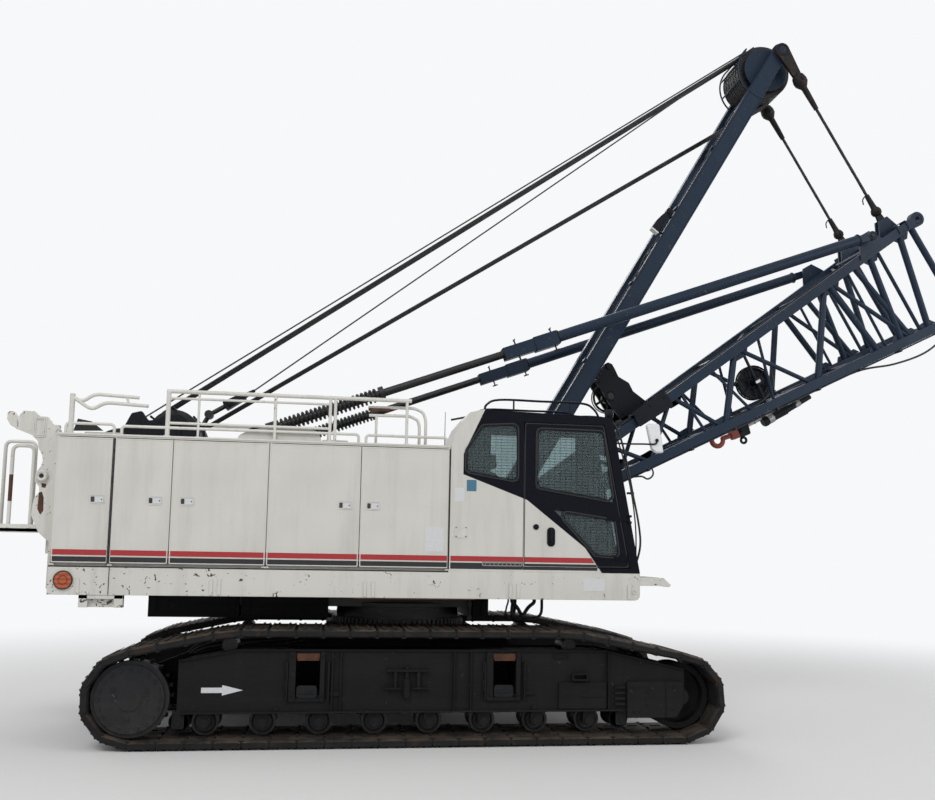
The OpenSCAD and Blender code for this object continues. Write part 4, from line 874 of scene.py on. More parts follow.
RIGHT_SEAMS = (-3.808, -3.238, -2.64, -1.645, -0.664, 0.312)
LEFT_SEAMS = (-3.808, -2.64, -1.164, 0.312)
DOOR_GAP = 0.0035
DOORS = [("side_door_right_%d" % (k + 1), RIGHT_SEAMS[k] + DOOR_GAP, RIGHT_SEAMS[k + 1] - DOOR_GAP, -1)
         for k in range(5)]
DOORS += [("side_door_left_%d" % (k + 1), LEFT_SEAMS[k] + DOOR_GAP, LEFT_SEAMS[k + 1] - DOOR_GAP, 1)
          for k in range(3)]
# Latches as (door, x)
LATCHES = (("side_door_right_1", -3.38), ("side_door_right_2", -2.8), ("side_door_right_3", -2.476),
           ("side_door_right_4", -0.826), ("side_door_right_5", -0.525), ("side_door_left_1", -2.8),
           ("side_door_left_2", -1.33), ("side_door_left_3", -1.0))


def stripe(name, body, material, x0, x1, z0, z1, side):
    p = Piece(name, body, material)
    p.box(x0, x1, side * 1.4995, side * 1.5012, z0, z1)
    p.done()


for door, x0, x1, side in DOORS:
    stripe("red_stripe_" + door, door, "red", x0, x1, 1.953, 2.01, side)
    stripe("dark_stripe_" + door, door, "ink", x0, x1, 1.87, 1.938, side)
    # Pressed rim round the door
    rim = Piece("rim_" + door, door, "body")
    outer = rect(x0 + 0.004, x1 - 0.004, 1.874, 3.17, 0.012, 2)
    inner = rect(x0 + 0.016, x1 - 0.016, 1.886, 3.158, 0.008, 2)
    ring_plate(rim, outer, inner, side * 1.499, side * 1.5025)
    rim.done(bevel=0.0015, segments=1)
for door, x in LATCHES:
    side = -1 if "right" in door else 1
    case = Piece("latch_case_" + door, door, "plate")
    outer = rect(x - 0.075, x + 0.075, 2.485, 2.575, 0.014, 3)
    inner = rect(x - 0.068, x + 0.068, 2.492, 2.568, 0.01, 3)
    ring_plate(case, outer, inner, side * 1.499, side * 1.506)
    case.prism(rect(x - 0.02, x + 0.062, 2.498, 2.562, 0.008, 3), side * 1.4995, side * 1.5045)
    case.done(bevel=0.001, segments=1)
    paddle = Piece("latch_paddle_" + door, door, "steel")
    paddle.prism(rect(x - 0.062, x - 0.026, 2.502, 2.558, 0.008, 3), side * 1.4997, side * 1.5015)
    paddle.disc(at(x + 0.046, side * 1.5045, 2.53), 0.007, 0.004, 12)
    paddle.done(bevel=0.001, segments=1)

# The two wide joints, each closed by a dark strip on the doors' own edges
WIDE = (("side_door_right_1", 1), ("side_door_right_2", 0), ("side_door_right_5", 1))
SPANS = {door: span for door, *span in DOORS}
for door, end in WIDE:
    x0, x1, side = SPANS[door]
    edge = Piece("edge_strip_" + door, door, "rubber")
    xa, xb = (x1 - 0.011, x1) if end else (x0, x0 + 0.011)
    edge.box(xa, xb, side * 1.4995, side * 1.5036, 1.871, 3.172)
    edge.done(bevel=0.001, segments=1)

# Roof edge, turned to a lip; panel joints and lifting eyes
roof = Piece("roof_edges", "upper", "body")
for side in (-1, 1):
    roof.rod((-3.806, side * 1.496, 3.204), (0.3, side * 1.496, 3.204), 0.014, 8)
    roof.across(-3.802, side * 1.49, side * 0.64, 3.204, 0.014, 8)
    for x in (-2.64, -1.645, -0.664) if side < 0 else (-2.64, -1.164):
        roof.box(x - 0.02, x + 0.02, side * 1.485, side * 0.66, 3.211, 3.219)
    for x in (-3.45, -1.2, 0.0):
        roof.ring(at(x, side * 0.8, 3.235), 0.035, 0.01, 20, 8)
        roof.box(x - 0.05, x + 0.05, side * 0.77, side * 0.83, 3.211, 3.219)
    # Vent caps on the roof of each bay
    for x, w in ((-3.42, 0.2), (-0.95, 0.16)):
        roof.prism(rounded(((x - w, 3.211), (x + w, 3.211), (x + w - 0.02, 3.262), (x - w + 0.02, 3.262)),
                           0.012, 2), side * 0.92, side * 1.24)
# Hood over the air outlet
hood = rounded(((-2.0, 3.206), (-1.975, 3.262), (-1.88, 3.312), (-1.75, 3.345), (-1.6, 3.358),
                (-1.25, 3.358), (-1.15, 3.33), (-1.11, 3.27), (-1.1, 3.206)), 0.05, 4)
roof.prism(hood, -1.43, -1.01)
roof.done(bevel=0.003, segments=1)

# Guard rails: posts, long rails, low loops, and the bars at both ends
RAIL_Y, ROOF_Z, RAIL_Z = 1.46, 3.2125, 3.7


def bent_bar(piece, points, y, r):
    """A round bar along points of the XZ plane at y, with a bend at each."""
    path = [Vector((x, z)) for x, z in points]
    out = [path[0]]
    for k in range(1, len(path) - 1):
        p, a, b = path[k], path[k - 1], path[k + 1]
        reach = min(0.07, (a - p).length * 0.4, (b - p).length * 0.4)
        s0, s1 = p + (a - p).normalized() * reach, p + (b - p).normalized() * reach
        out += [(s0 * (1 - t) + p * t) * (1 - t) + (p * (1 - t) + s1 * t) * t
                for t in (0.0, 0.25, 0.5, 0.75, 1.0)]
    out.append(path[-1])
    piece.tube([at(v.x, y, v.y) for v in out], r, 12)


def bent_loop(piece, x0, x1, y, z0, z1, r):
    """A bar bent to a loop, from foot x0 over the top z1 to foot x1."""
    bent_bar(piece, ((x0, z0), (x0, z1), (x1, z1), (x1, z0)), y, r)


rails = Piece("rail_bars", "upper", "rail")
for x, r in ((-2.718, 0.024), (-2.403, 0.013), (-1.602, 0.017), (-1.015, 0.018), (-0.96, 0.018),
             (-0.178, 0.017)):
    rails.rod((x, -RAIL_Y, ROOF_Z), (x, -RAIL_Y, RAIL_Z), r, 12)
    rails.disc(at(x, -RAIL_Y, ROOF_Z + 0.005), r + 0.02, 0.01, 14, axis=(0, 0, 1))
rails.rod((-2.74, -RAIL_Y, RAIL_Z), (-0.13, -RAIL_Y, RAIL_Z), 0.022, 12)
rails.rod((-2.718, -RAIL_Y, 3.626), (-1.015, -RAIL_Y, 3.626), 0.014, 10)
rails.rod((-2.718, -RAIL_Y, 3.359), (-1.015, -RAIL_Y, 3.359), 0.015, 10)
for x0, x1, z in ((-3.74, -3.255, 3.322), (-3.18, -0.7, 3.308), (-0.62, 0.27, 3.304)):
    bent_loop(rails, x0, x1, -RAIL_Y, ROOF_Z, z, 0.016)
for bar in (((-0.6, 3.625), (-0.09, 3.632), (0.01, 3.59), (0.04, 3.5), (0.04, ROOF_Z)),
            ((-0.59, 3.535), (-0.14, 3.542), (-0.05, 3.5), (-0.03, 3.43), (-0.03, ROOF_Z))):
    bent_bar(rails, bar, -RAIL_Y + 0.08, 0.017)
rails.rod((-0.509, -RAIL_Y + 0.08, ROOF_Z), (-0.509, -RAIL_Y + 0.08, 3.536), 0.015, 10)
rails.rod((-3.691, -RAIL_Y, ROOF_Z), (-3.691, -RAIL_Y, 3.632), 0.027, 14)
bent_bar(rails, ((-3.691, 3.6), (-3.59, 3.551), (-3.472, 3.637), (-3.021, 3.616)), -RAIL_Y, 0.019)
bent_bar(rails, ((-3.691, 3.6), (-3.493, 3.466), (-3.359, 3.552), (-2.923, 3.53)), -RAIL_Y, 0.019)
rails.rod((-3.15, -RAIL_Y, 3.622), (-3.12, -RAIL_Y, 3.541), 0.012, 8)
# Left side
for x in (-2.718, -1.602, -1.015):
    rails.rod((x, RAIL_Y, ROOF_Z), (x, RAIL_Y, RAIL_Z), 0.02, 12)
    rails.disc(at(x, RAIL_Y, ROOF_Z + 0.005), 0.04, 0.01, 14, axis=(0, 0, 1))
rails.rod((-2.74, RAIL_Y, RAIL_Z), (-0.99, RAIL_Y, RAIL_Z), 0.022, 12)
rails.rod((-2.718, RAIL_Y, 3.4), (-1.015, RAIL_Y, 3.4), 0.015, 10)
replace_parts(rails.done(smooth=50), "guard_rails")
rust_ends = Piece("rail_bracket", "upper", "rust")
rust_ends.box(-0.6, -0.36, -RAIL_Y + 0.045, -RAIL_Y + 0.062, 3.58, 3.612)
rust_ends.done(bevel=0.003, segments=1)

# Deck frame: channel beams with a rounded lower front corner, short belly girders, foot plates and pins
DECK_X0, DECK_X1, DECK_Z0, DECK_Z1, BELLY_Z, GIRDER_Y = -3.82, 2.48, 1.547, 1.846, 1.4, 0.56
deck = Piece("deck_frame", "upper", "deck_cream_and_shade")


def corner_cut(x0, x1, z0, z1, r):
    """A beam's side with its lower front corner rounded."""
    arc = [(x1 - r + r * sin(a), z0 + r - r * cos(a)) for a in [pi / 2 * k / 6 for k in range(7)]]
    return [(x0, z0)] + arc + [(x1, z1), (x0, z1)]


for side in (-1, 1):
    deck.prism(corner_cut(DECK_X0, DECK_X1, DECK_Z0, DECK_Z1, 0.06), side * 1.5, side * 1.485)
    deck.box(DECK_X0, DECK_X1, side * 1.49, side * 1.41, DECK_Z1 - 0.045, DECK_Z1)
    deck.box(DECK_X0, DECK_X1 - 0.05, side * 1.49, side * 1.41, DECK_Z0, DECK_Z0 + 0.015)
    deck.box(DECK_X0 + 0.2, DECK_X1 - 0.4, side * GIRDER_Y, side * (GIRDER_Y + 0.04), DECK_Z0,
             DECK_Z1 - 0.01)
    deck.box(-2.65, 0.72, side * GIRDER_Y, side * (GIRDER_Y + 0.04), BELLY_Z, DECK_Z0 + 0.02)
    # Foot plates of the mast and of the boom, with their pins
    deck.prism(((0.76, 1.836), (0.94, 2.43), (1.03, 2.47), (1.12, 2.43), (1.45, 1.836)), side * 0.295,
               side * 0.255)
    deck.prism(((0.65, 1.836), (0.9, 2.41), (0.98, 2.48), (1.12, 2.47), (1.47, 2.75), (1.55, 2.83),
                (1.66, 2.83), (1.74, 2.74), (2.15, 1.836)), side * 0.512, side * 0.437)
    deck.prism(((1.2, 1.836), (1.47, 2.73), (1.6, 2.83), (1.73, 2.73), (2.15, 1.836)), side * 0.628,
               side * 0.588)
    deck.across(1.6, side * 0.452, side * 0.638, 2.69, 0.045, 20)
    deck.across(1.03, side * 0.245, side * 0.472, 2.35, 0.045, 20)
    # Channel under the rear end of the beam
    for row in ((-3.51, -3.42, side * 1.49, side * 1.42, 1.42, DECK_Z0 + 0.005),
                (-3.16, -3.07, side * 1.49, side * 1.42, 1.42, DECK_Z0 + 0.005),
                (-3.51, -3.07, side * 1.432, side * 1.42, 1.42, DECK_Z0 + 0.005),
                (-3.51, -3.07, side * 1.49, side * 1.42, DECK_Z0 - 0.04, DECK_Z0 + 0.002)):
        deck.box(*row)
    # Steps in front of the beam
    deck.prism(((2.478, 1.712), (2.7, 1.712), (2.822, 1.7), (2.846, 1.722), (2.76, 1.8), (2.478, 1.806)),
               side * 1.498, side * 0.9)
deck.box(DECK_X0 + 0.005, DECK_X1 - 0.005, -1.48, 1.48, DECK_Z1 - 0.03, DECK_Z1)
deck.box(DECK_X0, DECK_X0 + 0.05, -1.48, 1.48, DECK_Z0 + 0.005, DECK_Z1 - 0.005)
deck.box(DECK_X1 - 0.05, DECK_X1 - 0.004, -1.48, 1.48, DECK_Z0 + 0.08, DECK_Z1 - 0.005)
for x in (-3.62, -2.4, 0.66, 1.9):
    deck.box(x, x + 0.06, -1.46, 1.46, DECK_Z0 + 0.02, DECK_Z1 - 0.01)
deck.box(SLEW_X - 0.9, 0.72, -GIRDER_Y, GIRDER_Y, BELLY_Z, BELLY_Z + 0.03)
deck.rod((SLEW_X, 0, BELLY_Z), (SLEW_X, 0, BELLY_Z + 0.05), 0.76, 48)
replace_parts(deck.done(bevel=0.004, segments=2, smooth=40), "upper_frame")

# What is on the deck beams: straps, joint, seam and cover plates
trim = Piece("deck_fittings", "upper", "deck_cream_and_shade")
STRAPS = (-3.522, -2.19, -2.108, -0.588, -0.5, 1.003, 1.089, 2.351)
for side in (-1, 1):
    for x in STRAPS:
        trim.prism(rect(x - 0.017, x + 0.017, 1.556, 1.724, 0.01, 2), side * 1.499, side * 1.511)
    trim.rod((DECK_X0 + 0.002, side * 1.496, 1.843), (0.3, side * 1.496, 1.843), 0.006, 6)
    trim.ring(at(2.41, side * 1.503, 1.64), 0.022, 0.006, 16, 6)
    for x in (-3.1, -1.2, 0.1, 1.6, 2.36):
        trim.bolt(at(x, side * 1.5, 1.79), (0, side, 0), 0.01, 0.006)
trim.done(bevel=0.003, segments=1)
gap = Piece("deck_joint", "upper", "rubber")
for side in (-1, 1):
    gap.box(-3.224, -3.215, side * 1.4995, side * 1.5008, 1.552, 1.84)
    gap.box(DECK_X0, 0.31, side * 1.499, side * 1.5012, 1.83, DECK_Z1 + 0.0001)
gap.done()
LAMP_X, LAMP_Z = -3.665, 1.696
ring = Piece("lamp_rims", "upper", "rubber")
for side in (-1, 1):
    ring.ring(at(LAMP_X, side * 1.516, LAMP_Z), 0.0895, 0.0085, 40, 8)
    ring.ring(at(LAMP_X, side * 1.5225, LAMP_Z), 0.044, 0.003, 24, 6)
ring.done(smooth=60)
plate = Piece("beam_plate", "upper", "plate")
plate.prism(rect(1.821, 2.07, 1.645, 1.785, 0.008, 2), -1.5025, -1.4995)
plate.done(bevel=0.0008, segments=1)
strip = Piece("rusty_strip", "upper", "rust")
strip.box(-0.72, 0.61, -1.5, -1.47, 1.536, 1.549)
strip.done(bevel=0.001, segments=1)

# Rear brackets: plates with a hook at the top and a boss for the counterweight's pin
BX = -3.8203
BRACKET = ((0, 1.6), (0, 3.304), (-0.06, 3.304), (-0.121, 3.386), (-0.201, 3.389), (-0.261, 3.441),
           (-0.369, 3.443), (-0.408, 3.387), (-0.412, 3.27), (-0.426, 3.27), (-0.43, 3.387),
           (-0.46, 3.433), (-0.51, 3.431), (-0.525, 3.415), (-0.525, 3.346), (-0.49, 3.287),
           (-0.42, 3.246), (-0.268, 3.187), (-0.208, 3.128), (-0.198, 3.056), (-0.156, 2.98),
           (-0.148, 2.925), (-0.16, 2.87), (-0.205, 2.8), (-0.218, 2.755), (-0.212, 2.705), (-0.168, 2.65),
           (-0.165, 2.595), (-0.21, 2.53), (-0.222, 2.46), (-0.228, 2.355), (-0.15, 2.18), (-0.04, 2.08),
           (-0.04, 1.6))
BOSS_X, BOSS_Z = BX - 0.14, 2.764
rear = Piece("bracket_plates", "upper", "bracket")
for side in (-1, 1):
    rear.prism([(BX + x, z) for x, z in BRACKET], side * 1.33, side * 1.39)
    # Raised border round the hook's pocket, the boss and its ring
    ring_plate(rear, rect(BX - 0.262, BX - 0.13, 3.168, 3.382, 0.02, 3),
               rect(BX - 0.248, BX - 0.144, 3.182, 3.368, 0.014, 3), side * 1.388, side * 1.398)
    rear.across(BOSS_X, side * 1.31, side * 1.43, BOSS_Z, 0.06, 28)
    rear.ring(at(BOSS_X, side * 1.43, BOSS_Z), 0.045, 0.01, 28, 8)
    rear.ring(at(BX - 0.009, side * 1.392, 3.232), 0.03, 0.008, 20, 8)
    # Step at the plate's lower rear edge, and ribs on its inner face
    rear.box(BX - 0.215, BX - 0.01, side * 1.375, side * 1.325, 2.34, 2.362)
    rear.box(BX - 0.15, BX - 0.01, side * 1.375, side * 1.325, 2.9, 2.92)
rear.box(BX - 0.04, BX, -1.38, 1.38, 1.9, 2.06)
rear.box(BX - 0.04, BX, -1.38, 1.38, 2.9, 3.02)
for z0, z1 in ((1.6, 1.63), (1.74, 1.77)):
    rear.box(-3.85, -3.818, -1.25, 1.25, z0, z1)
for y in (-0.95, -0.35, 0.35, 0.95):
    rear.box(-3.862, -3.818, y - 0.02, y + 0.02, 1.57, 1.83)
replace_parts(rear.done(bevel=0.005, segments=2), "counterweight_bracket")
bore = Piece("bracket_bores", "upper", "grease")
for side in (-1, 1):
    bore.across(BOSS_X, side * 1.3, side * 1.4305, BOSS_Z, 0.026, 24)
# Sloping bar behind the hook
bore.prism(((-3.873, 3.336), (-3.551, 3.348), (-3.681, 3.448), (-3.831, 3.475)), -0.63, -0.6)
bore.done(bevel=0.002, segments=1, smooth=40)
# Framed pocket beside the hook
POCKET = ((BX - 0.246, 3.184), (BX - 0.146, 3.184), (BX - 0.146, 3.366), (BX - 0.246, 3.366))
pocket = Piece("bracket_pocket", "upper", "bracket")
for side in (-1, 1):
    ring_plate(pocket, rounded(POCKET, 0.012, 3), rounded(offset(POCKET, -0.012), 0.008, 3), side * 1.389,
               side * 1.399)
pocket.done(bevel=0.001, segments=1)
stain = Piece("rust_patches", "upper", "rust")
stain.prism(((-3.985, 2.59), (-3.955, 2.6), (-3.935, 2.54), (-3.93, 2.4), (-3.96, 2.36), (-3.99, 2.42)),
            -1.3912, -1.3895)
stain.prism(((-3.965, 2.69), (-3.915, 2.68), (-3.925, 2.64), (-3.962, 2.645)), -1.3912, -1.3895)
stain.rod((-4.312, -1.24, 2.5), (-4.312, -1.24, 2.78), 0.0206, 12)
stain.done(smooth=60)
hose = Piece("deck_hoses", "upper", "rubber")
for a, b, y, r in (((1.2, 1.53), (1.32, 1.31), -0.62, 0.022), ((1.455, 1.53), (1.32, 1.31), -0.66, 0.022),
                   ((1.155, 1.53), (1.12, 1.31), -0.6, 0.011)):
    hose.bend(((a[0], y, a[1]), (a[0], y, a[1] - 0.06), ((a[0] + b[0]) / 2, y, (a[1] + b[1]) / 2 - 0.01),
               (b[0], y, b[1])), r, 10)
for x0, x1, low, y in ((1.12, 1.24, 1.285, -0.6), (1.32, 1.56, 1.27, -0.62), (1.32, 1.2, 1.278, -0.66)):
    hose.bend(((x0, y, 1.31), (x0 + (x1 - x0) * 0.15, y, low + 0.03), ((x0 + x1) / 2, y + 0.03, low),
               (x1, y + 0.05, low + 0.06), (x1 + 0.02, y + 0.08, 1.53)), 0.018, 10)
hose.done(smooth=60)
# Dark boxes under the deck, ahead of and behind the slewing ring
belly = Piece("belly_boxes", "upper", "frame")
for x0, x1 in ((-2.96, -1.96), (-1.94, -0.96), (0.73, 0.91)):
    belly.box(x0, x1, -0.64, 0.64, 1.268, 1.56)
    for y in (-0.648, 0.64):
        belly.box(x0 + 0.04, x0 + 0.1, y, y + 0.008, 1.3, 1.54)
        belly.box(x1 - 0.1, x1 - 0.04, y, y + 0.008, 1.3, 1.54)
belly.done(bevel=0.006, segments=2)
link = Piece("belly_link", "upper", "steel")
link.rod((0.684, -0.62, 1.53), (0.687, -0.62, 1.277), 0.018, 10)
for z in (1.44, 1.285):
    link.disc(at(0.685, -0.62, z), 0.03, 0.05, 14)
link.done(smooth=45)

# Platform with its grating, edge plates and two hand loops
plat = Piece("platform_grating", "upper", "galv")
for k in range(19):
    x = -4.585 + k * 0.037
    plat.box(x - 0.003, x + 0.003, -1.262, -0.628, 2.219, 2.229)
for k in range(5):
    y = -1.24 + k * 0.148
    plat.box(-4.592, -3.905, y - 0.003, y + 0.003, 2.219, 2.227)
plat.done()
kick = Piece("platform_loops", "upper", "rail")
kick.box(-4.6, -3.894, -1.27, -0.62, 2.18, 2.22)
kick.box(-3.92, -3.861, -1.27, -0.62, 1.96, 2.19)
for y in (-1.27, -0.626):
    kick.box(-4.598, -3.9, y, y + 0.006, 2.182, 2.262)
kick.box(-4.598, -4.592, -1.264, -0.626, 2.182, 2.262)
bent_loop(kick, -4.312, -4.098, -1.24, 2.22, 3.089, 0.02)
bent_loop(kick, -4.57, -4.25, -0.65, 2.22, 3.19, 0.02)
for x, y in ((-4.312, -1.24), (-4.098, -1.24), (-4.57, -0.65), (-4.25, -0.65)):
    kick.disc(at(x, y, 2.226), 0.04, 0.012, 14, axis=(0, 0, 1))
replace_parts(kick.done(bevel=0.002, segments=1, smooth=50), "rear_platform")


# Winches and sheaves
def rope_wraps(name, body, x, z, r, half, rope_r):
    p = Piece(name, body, "rope")
    wraps = int(2 * half / (2.05 * rope_r))
    pts = []
    for k in range(wraps * 20 + 1):
        a = 2 * pi * k / 20
        pts.append(about(x, z, r + rope_r * 0.95, a, -half + rope_r
                         + 2 * (half - rope_r) * k / (wraps * 20)))
    p.tube(pts, rope_r, 6)
    p.done(smooth=70)


# Drums as (body, rope, x, z, radius of the barrel, of the flanges and of the rope)
DRUMS = (("drum_front", "rope_front_drum", -0.42, 2.42, 0.29, 0.4, 0.0125),
         ("drum_rear", "rope_rear_drum", -1.43, 2.42, 0.29, 0.4, 0.0125),
         ("drum_boom", "rope_boom_drum", -3.38, 3.06, 0.21, 0.33, 0.01))
DRUM_HALF = 0.455
for body, name, x, z, barrel, _, rope_r in DRUMS:
    rope_wraps(name, body, x, z, barrel, DRUM_HALF, rope_r)
for name, _, x, z, _, rf, _ in DRUMS:
    p = Piece("flange_" + name, name, "grease")
    for side in (-1, 1):
        p.ring(at(x, side * 0.475, z), rf - 0.004, 0.015, 40)
        for a in turns(6):
            p.tube([about(x, z, 0.09, a, side * 0.492), about(x, z, rf - 0.02, a, side * 0.492)], 0.01, 6)
        p.disc(at(x, side * 0.5, z), 0.1, 0.03, 20)
    p.done(smooth=40)

# Cab

CAB_Y = -SIDE_Y
CAB_SILL_X, CAB_LEAN, DECK_TOP = 2.48, 0.18813, 1.8463
WIRE_PITCH = 0.032
WINDOWS = {
    "rear": ("upper", ((0.481, 2.93), (1.071, 2.836), (1.063, 3.486), (0.66, 3.459), (0.481, 3.174))),
    "door": ("cab_door", ((1.28, 2.776), (2.17, 2.64), (2.05, 3.44), (1.28, 3.445))),
    "low": ("cab_door", ((1.48, 2.54), (1.957, 2.035), (2.24, 2.018), (2.18, 2.442)))}


def cab_front(z):
    """Front edge of the cab at height z, in crane coordinates."""
    return CAB_SILL_X - CAB_LEAN * (z - DECK_TOP)


for word, (body, outline) in WINDOWS.items():
    rim = Piece("rubber_" + word + "_window", body, "rubber")
    outer = rounded(offset(outline, 0.012), 0.07, 5)
    mid = rounded(offset(outline, -0.004), 0.055, 5)
    inner = rounded(offset(outline, -0.009), 0.05, 5)
    ring_plate(rim, outer, mid, CAB_Y - 0.009, CAB_Y + 0.004)
    ring_plate(rim, mid, inner, CAB_Y - 0.004, CAB_Y + 0.012)
    rim.done(bevel=0.003, segments=2)
    # Wire guard on a thin frame
    guard = Piece("guard_" + word + "_window", body, "black")
    edge = rounded(offset(outline, -0.014), 0.05, 4)
    guard.tube([at(x, CAB_Y - 0.016, z) for x, z in edge], 0.0045, 6, closed=True)
    shape = offset(outline, -0.016)
    zs = [z for _, z in shape]
    z = min(zs) + 0.03
    while z < max(zs) - 0.012:
        span = span_at(shape, z)
        if span and span[1] - span[0] > 0.05:
            guard.rod((span[0] + 0.004, CAB_Y - 0.017, z), (span[1] - 0.004, CAB_Y - 0.017, z), 0.0021, 5,
                      caps=False)
        z += WIRE_PITCH
    flip = [(z, x) for x, z in shape]
    x = min(v for v, _ in shape) + 0.06
    while x < max(v for v, _ in shape) - 0.02:
        span = span_at(flip, x)
        if span and span[1] - span[0] > 0.05:
            guard.rod((x, CAB_Y - 0.013, span[0] + 0.004), (x, CAB_Y - 0.013, span[1] - 0.004), 0.0016, 5,
                      caps=False)
        x += 2 * WIRE_PITCH
    for ex, ez in edge[::7]:
        guard.box(ex - 0.01, ex + 0.01, CAB_Y - 0.018, CAB_Y - 0.004, ez - 0.006, ez + 0.006)
    guard.done(smooth=60)

# Rubber round the door, and the door's own furniture
DOOR = ((1.141, 1.9063), (cab_front(1.9063) - 0.11, 1.9063), (cab_front(3.505) - 0.11, 3.505),
        (1.141, 3.505))
seal = Piece("door_seal", "cab_door", "rubber")
ring_plate(seal, rounded(offset(DOOR, -0.004), 0.03, 4), rounded(offset(DOOR, -0.013), 0.026, 4),
           CAB_Y - 0.003, CAB_Y + 0.004)
seal.done(bevel=0.001, segments=1)
handle = Piece("door_handle", "cab_door", "black")
oval = rect(1.407, 1.497, 2.131, 2.341, 0.042, 6)
inner = rect(1.418, 1.486, 2.142, 2.33, 0.032, 6)
ring_plate(handle, oval, inner, CAB_Y - 0.01, CAB_Y + 0.002)
handle.prism(inner, CAB_Y - 0.003, CAB_Y + 0.001)
handle.disc(at(1.281, CAB_Y - 0.004, 2.343), 0.032, 0.012, 20)
handle.disc(at(1.281, CAB_Y - 0.012, 2.343), 0.014, 0.008, 12)
handle.done(bevel=0.0015, segments=1)
bar = Piece("door_handle_bar", "cab_door", "black")
bar.bend(((1.452, CAB_Y - 0.004, 2.15), (1.45, CAB_Y - 0.024, 2.172), (1.452, CAB_Y - 0.026, 2.3),
          (1.454, CAB_Y - 0.004, 2.322)), 0.01, 8, steps=4)
bar.done(smooth=60)
hinge = Piece("door_hinge_straps", "cab_door", "black")
for z in (2.01, 2.45):
    x = cab_front(z) - 0.11
    for bx in (x - 0.15, x - 0.1):
        for dz in (-0.012, 0.012):
            hinge.bolt(at(bx, CAB_Y - 0.008, z + dz), (0, -1, 0), 0.006, 0.004)
hinge.done()

side_bits = Piece("cab_side_fittings", "upper", "body")
hatch = rect(0.372, 0.512, 2.205, 2.335, 0.018, 3)
side_bits.prism(hatch, CAB_Y - 0.005, CAB_Y + 0.001)
side_bits.done(bevel=0.0015, segments=1)
hatch_bolts = Piece("hatch_bolts", "upper", "steel")
for bx in (0.388, 0.496):
    for bz in (2.221, 2.319):
        hatch_bolts.bolt(at(bx, CAB_Y - 0.005, bz), (0, -1, 0), 0.007, 0.004)
hatch_bolts.done()
step = Piece("cab_step", "upper", "galv")
ring_plate(step, rect(0.68, 1.13, 1.905, 1.955, 0.014, 3),
           rect(0.692, 1.118, 1.915, 1.945, 0.008, 3), CAB_Y - 0.006, CAB_Y + 0.002)
for k in range(9):
    x = 0.72 + k * 0.047
    step.box(x - 0.004, x + 0.004, CAB_Y - 0.003, CAB_Y + 0.001, 1.915, 1.945)
step.done(bevel=0.001, segments=1)
for name, body, x0, x1 in (("cab", "upper", 0.33, 1.135), ("cab_door", "cab_door", 1.147, 1.925)):
    p = Piece("red_stripe_" + name, body, "red")
    end = 0.0 if body == "upper" else 0.055
    p.prism(((x0, 1.953), (x1 + end * 0.5, 1.953), (x1 - end * 0.2, 2.01), (x0, 2.01)), CAB_Y - 0.0012,
            CAB_Y + 0.0005)
    p.done()
    p = Piece("dark_stripe_" + name, body, "ink")
    lo = 1.87 if body == "upper" else 1.912
    p.box(x0, 1.135 if body == "upper" else 1.975, CAB_Y - 0.0012, CAB_Y + 0.0005, lo, 1.938)
    p.done()
p = Piece("dark_stripe_sill", "upper", "ink")
p.box(1.137, 1.985, CAB_Y - 0.0012, CAB_Y + 0.0005, 1.87, 1.9)
p.done()

# Roof: rail tube, work lamps, antenna and the roof window's frame
cab_top = Piece("cab_roof_rail", "upper", "black")
for y in (-1.455, -0.7):
    cab_top.bend(((0.69, y, 3.625), (0.712, y, 3.697), (0.854, y, 3.757), (1.33, y, 3.758),
                  (1.81, y, 3.754), (1.95, y, 3.69), (2.009, y, 3.598)), 0.013, 8, steps=5)
for x in (1.02, 1.66):
    cab_top.rod((x, -1.455, 3.755), (x, -1.455, 3.6), 0.01, 6)
ring_plate(cab_top, rect(1.02, 1.78, -1.38, -0.77, 0.06, 4),
           rect(1.07, 1.73, -1.33, -0.82, 0.05, 4), 3.6, 3.632,
           where=lambda x, y, z: at(x, z, y))
# Windscreen's rubber and the wiper on it, with the screen's normal
SCREEN_OUT, SCREEN_UP = 0.983, 0.185


def on_screen(d, y, z):
    """A point d proud of the leaning windscreen."""
    return at(cab_front(z) + d * SCREEN_OUT, y, z + d * SCREEN_UP)


loop = rect(-1.41, -0.745, 2.15, 3.5, 0.05, 4)
cab_top.tube([on_screen(0.002, y, z) for y, z in loop], 0.014, 8, closed=True)
cab_top.tube([on_screen(0.035, -1.05, 2.12), on_screen(0.03, -1.22, 3.0)], 0.006, 6)
cab_top.tube([on_screen(0.022, -1.19, 2.55), on_screen(0.022, -1.25, 3.35)], 0.009, 6)
cab_top.disc(on_screen(0.012, -1.05, 2.12), 0.03, 0.05, 14, axis=(1, 0, 0.19))
for y in (-1.38, -0.8):
    cab_top.disc(at(2.15, y, 3.655), 0.055, 0.07, 18, axis=(1, 0, 0))
    cab_top.rod((2.13, y, 3.655), (2.11, y, 3.585), 0.012, 6)
cab_top.done(smooth=45)
lens = Piece("work_lamp_glass", "upper", "plate", "glass")
for y in (-1.38, -0.8):
    lens.disc(at(2.187, y, 3.655), 0.047, 0.006, 18, axis=(1, 0, 0))
lens.done(smooth=45)
ant = Piece("antenna", "upper", "rubber")
ant.rod((0.315, -0.92, 3.21), (0.315, -0.92, 3.26), 0.014, 8)
ant.rod((0.315, -0.92, 3.26), (0.316, -0.92, 3.672), [0.005, 0.003], 6)
ant.done(smooth=60)

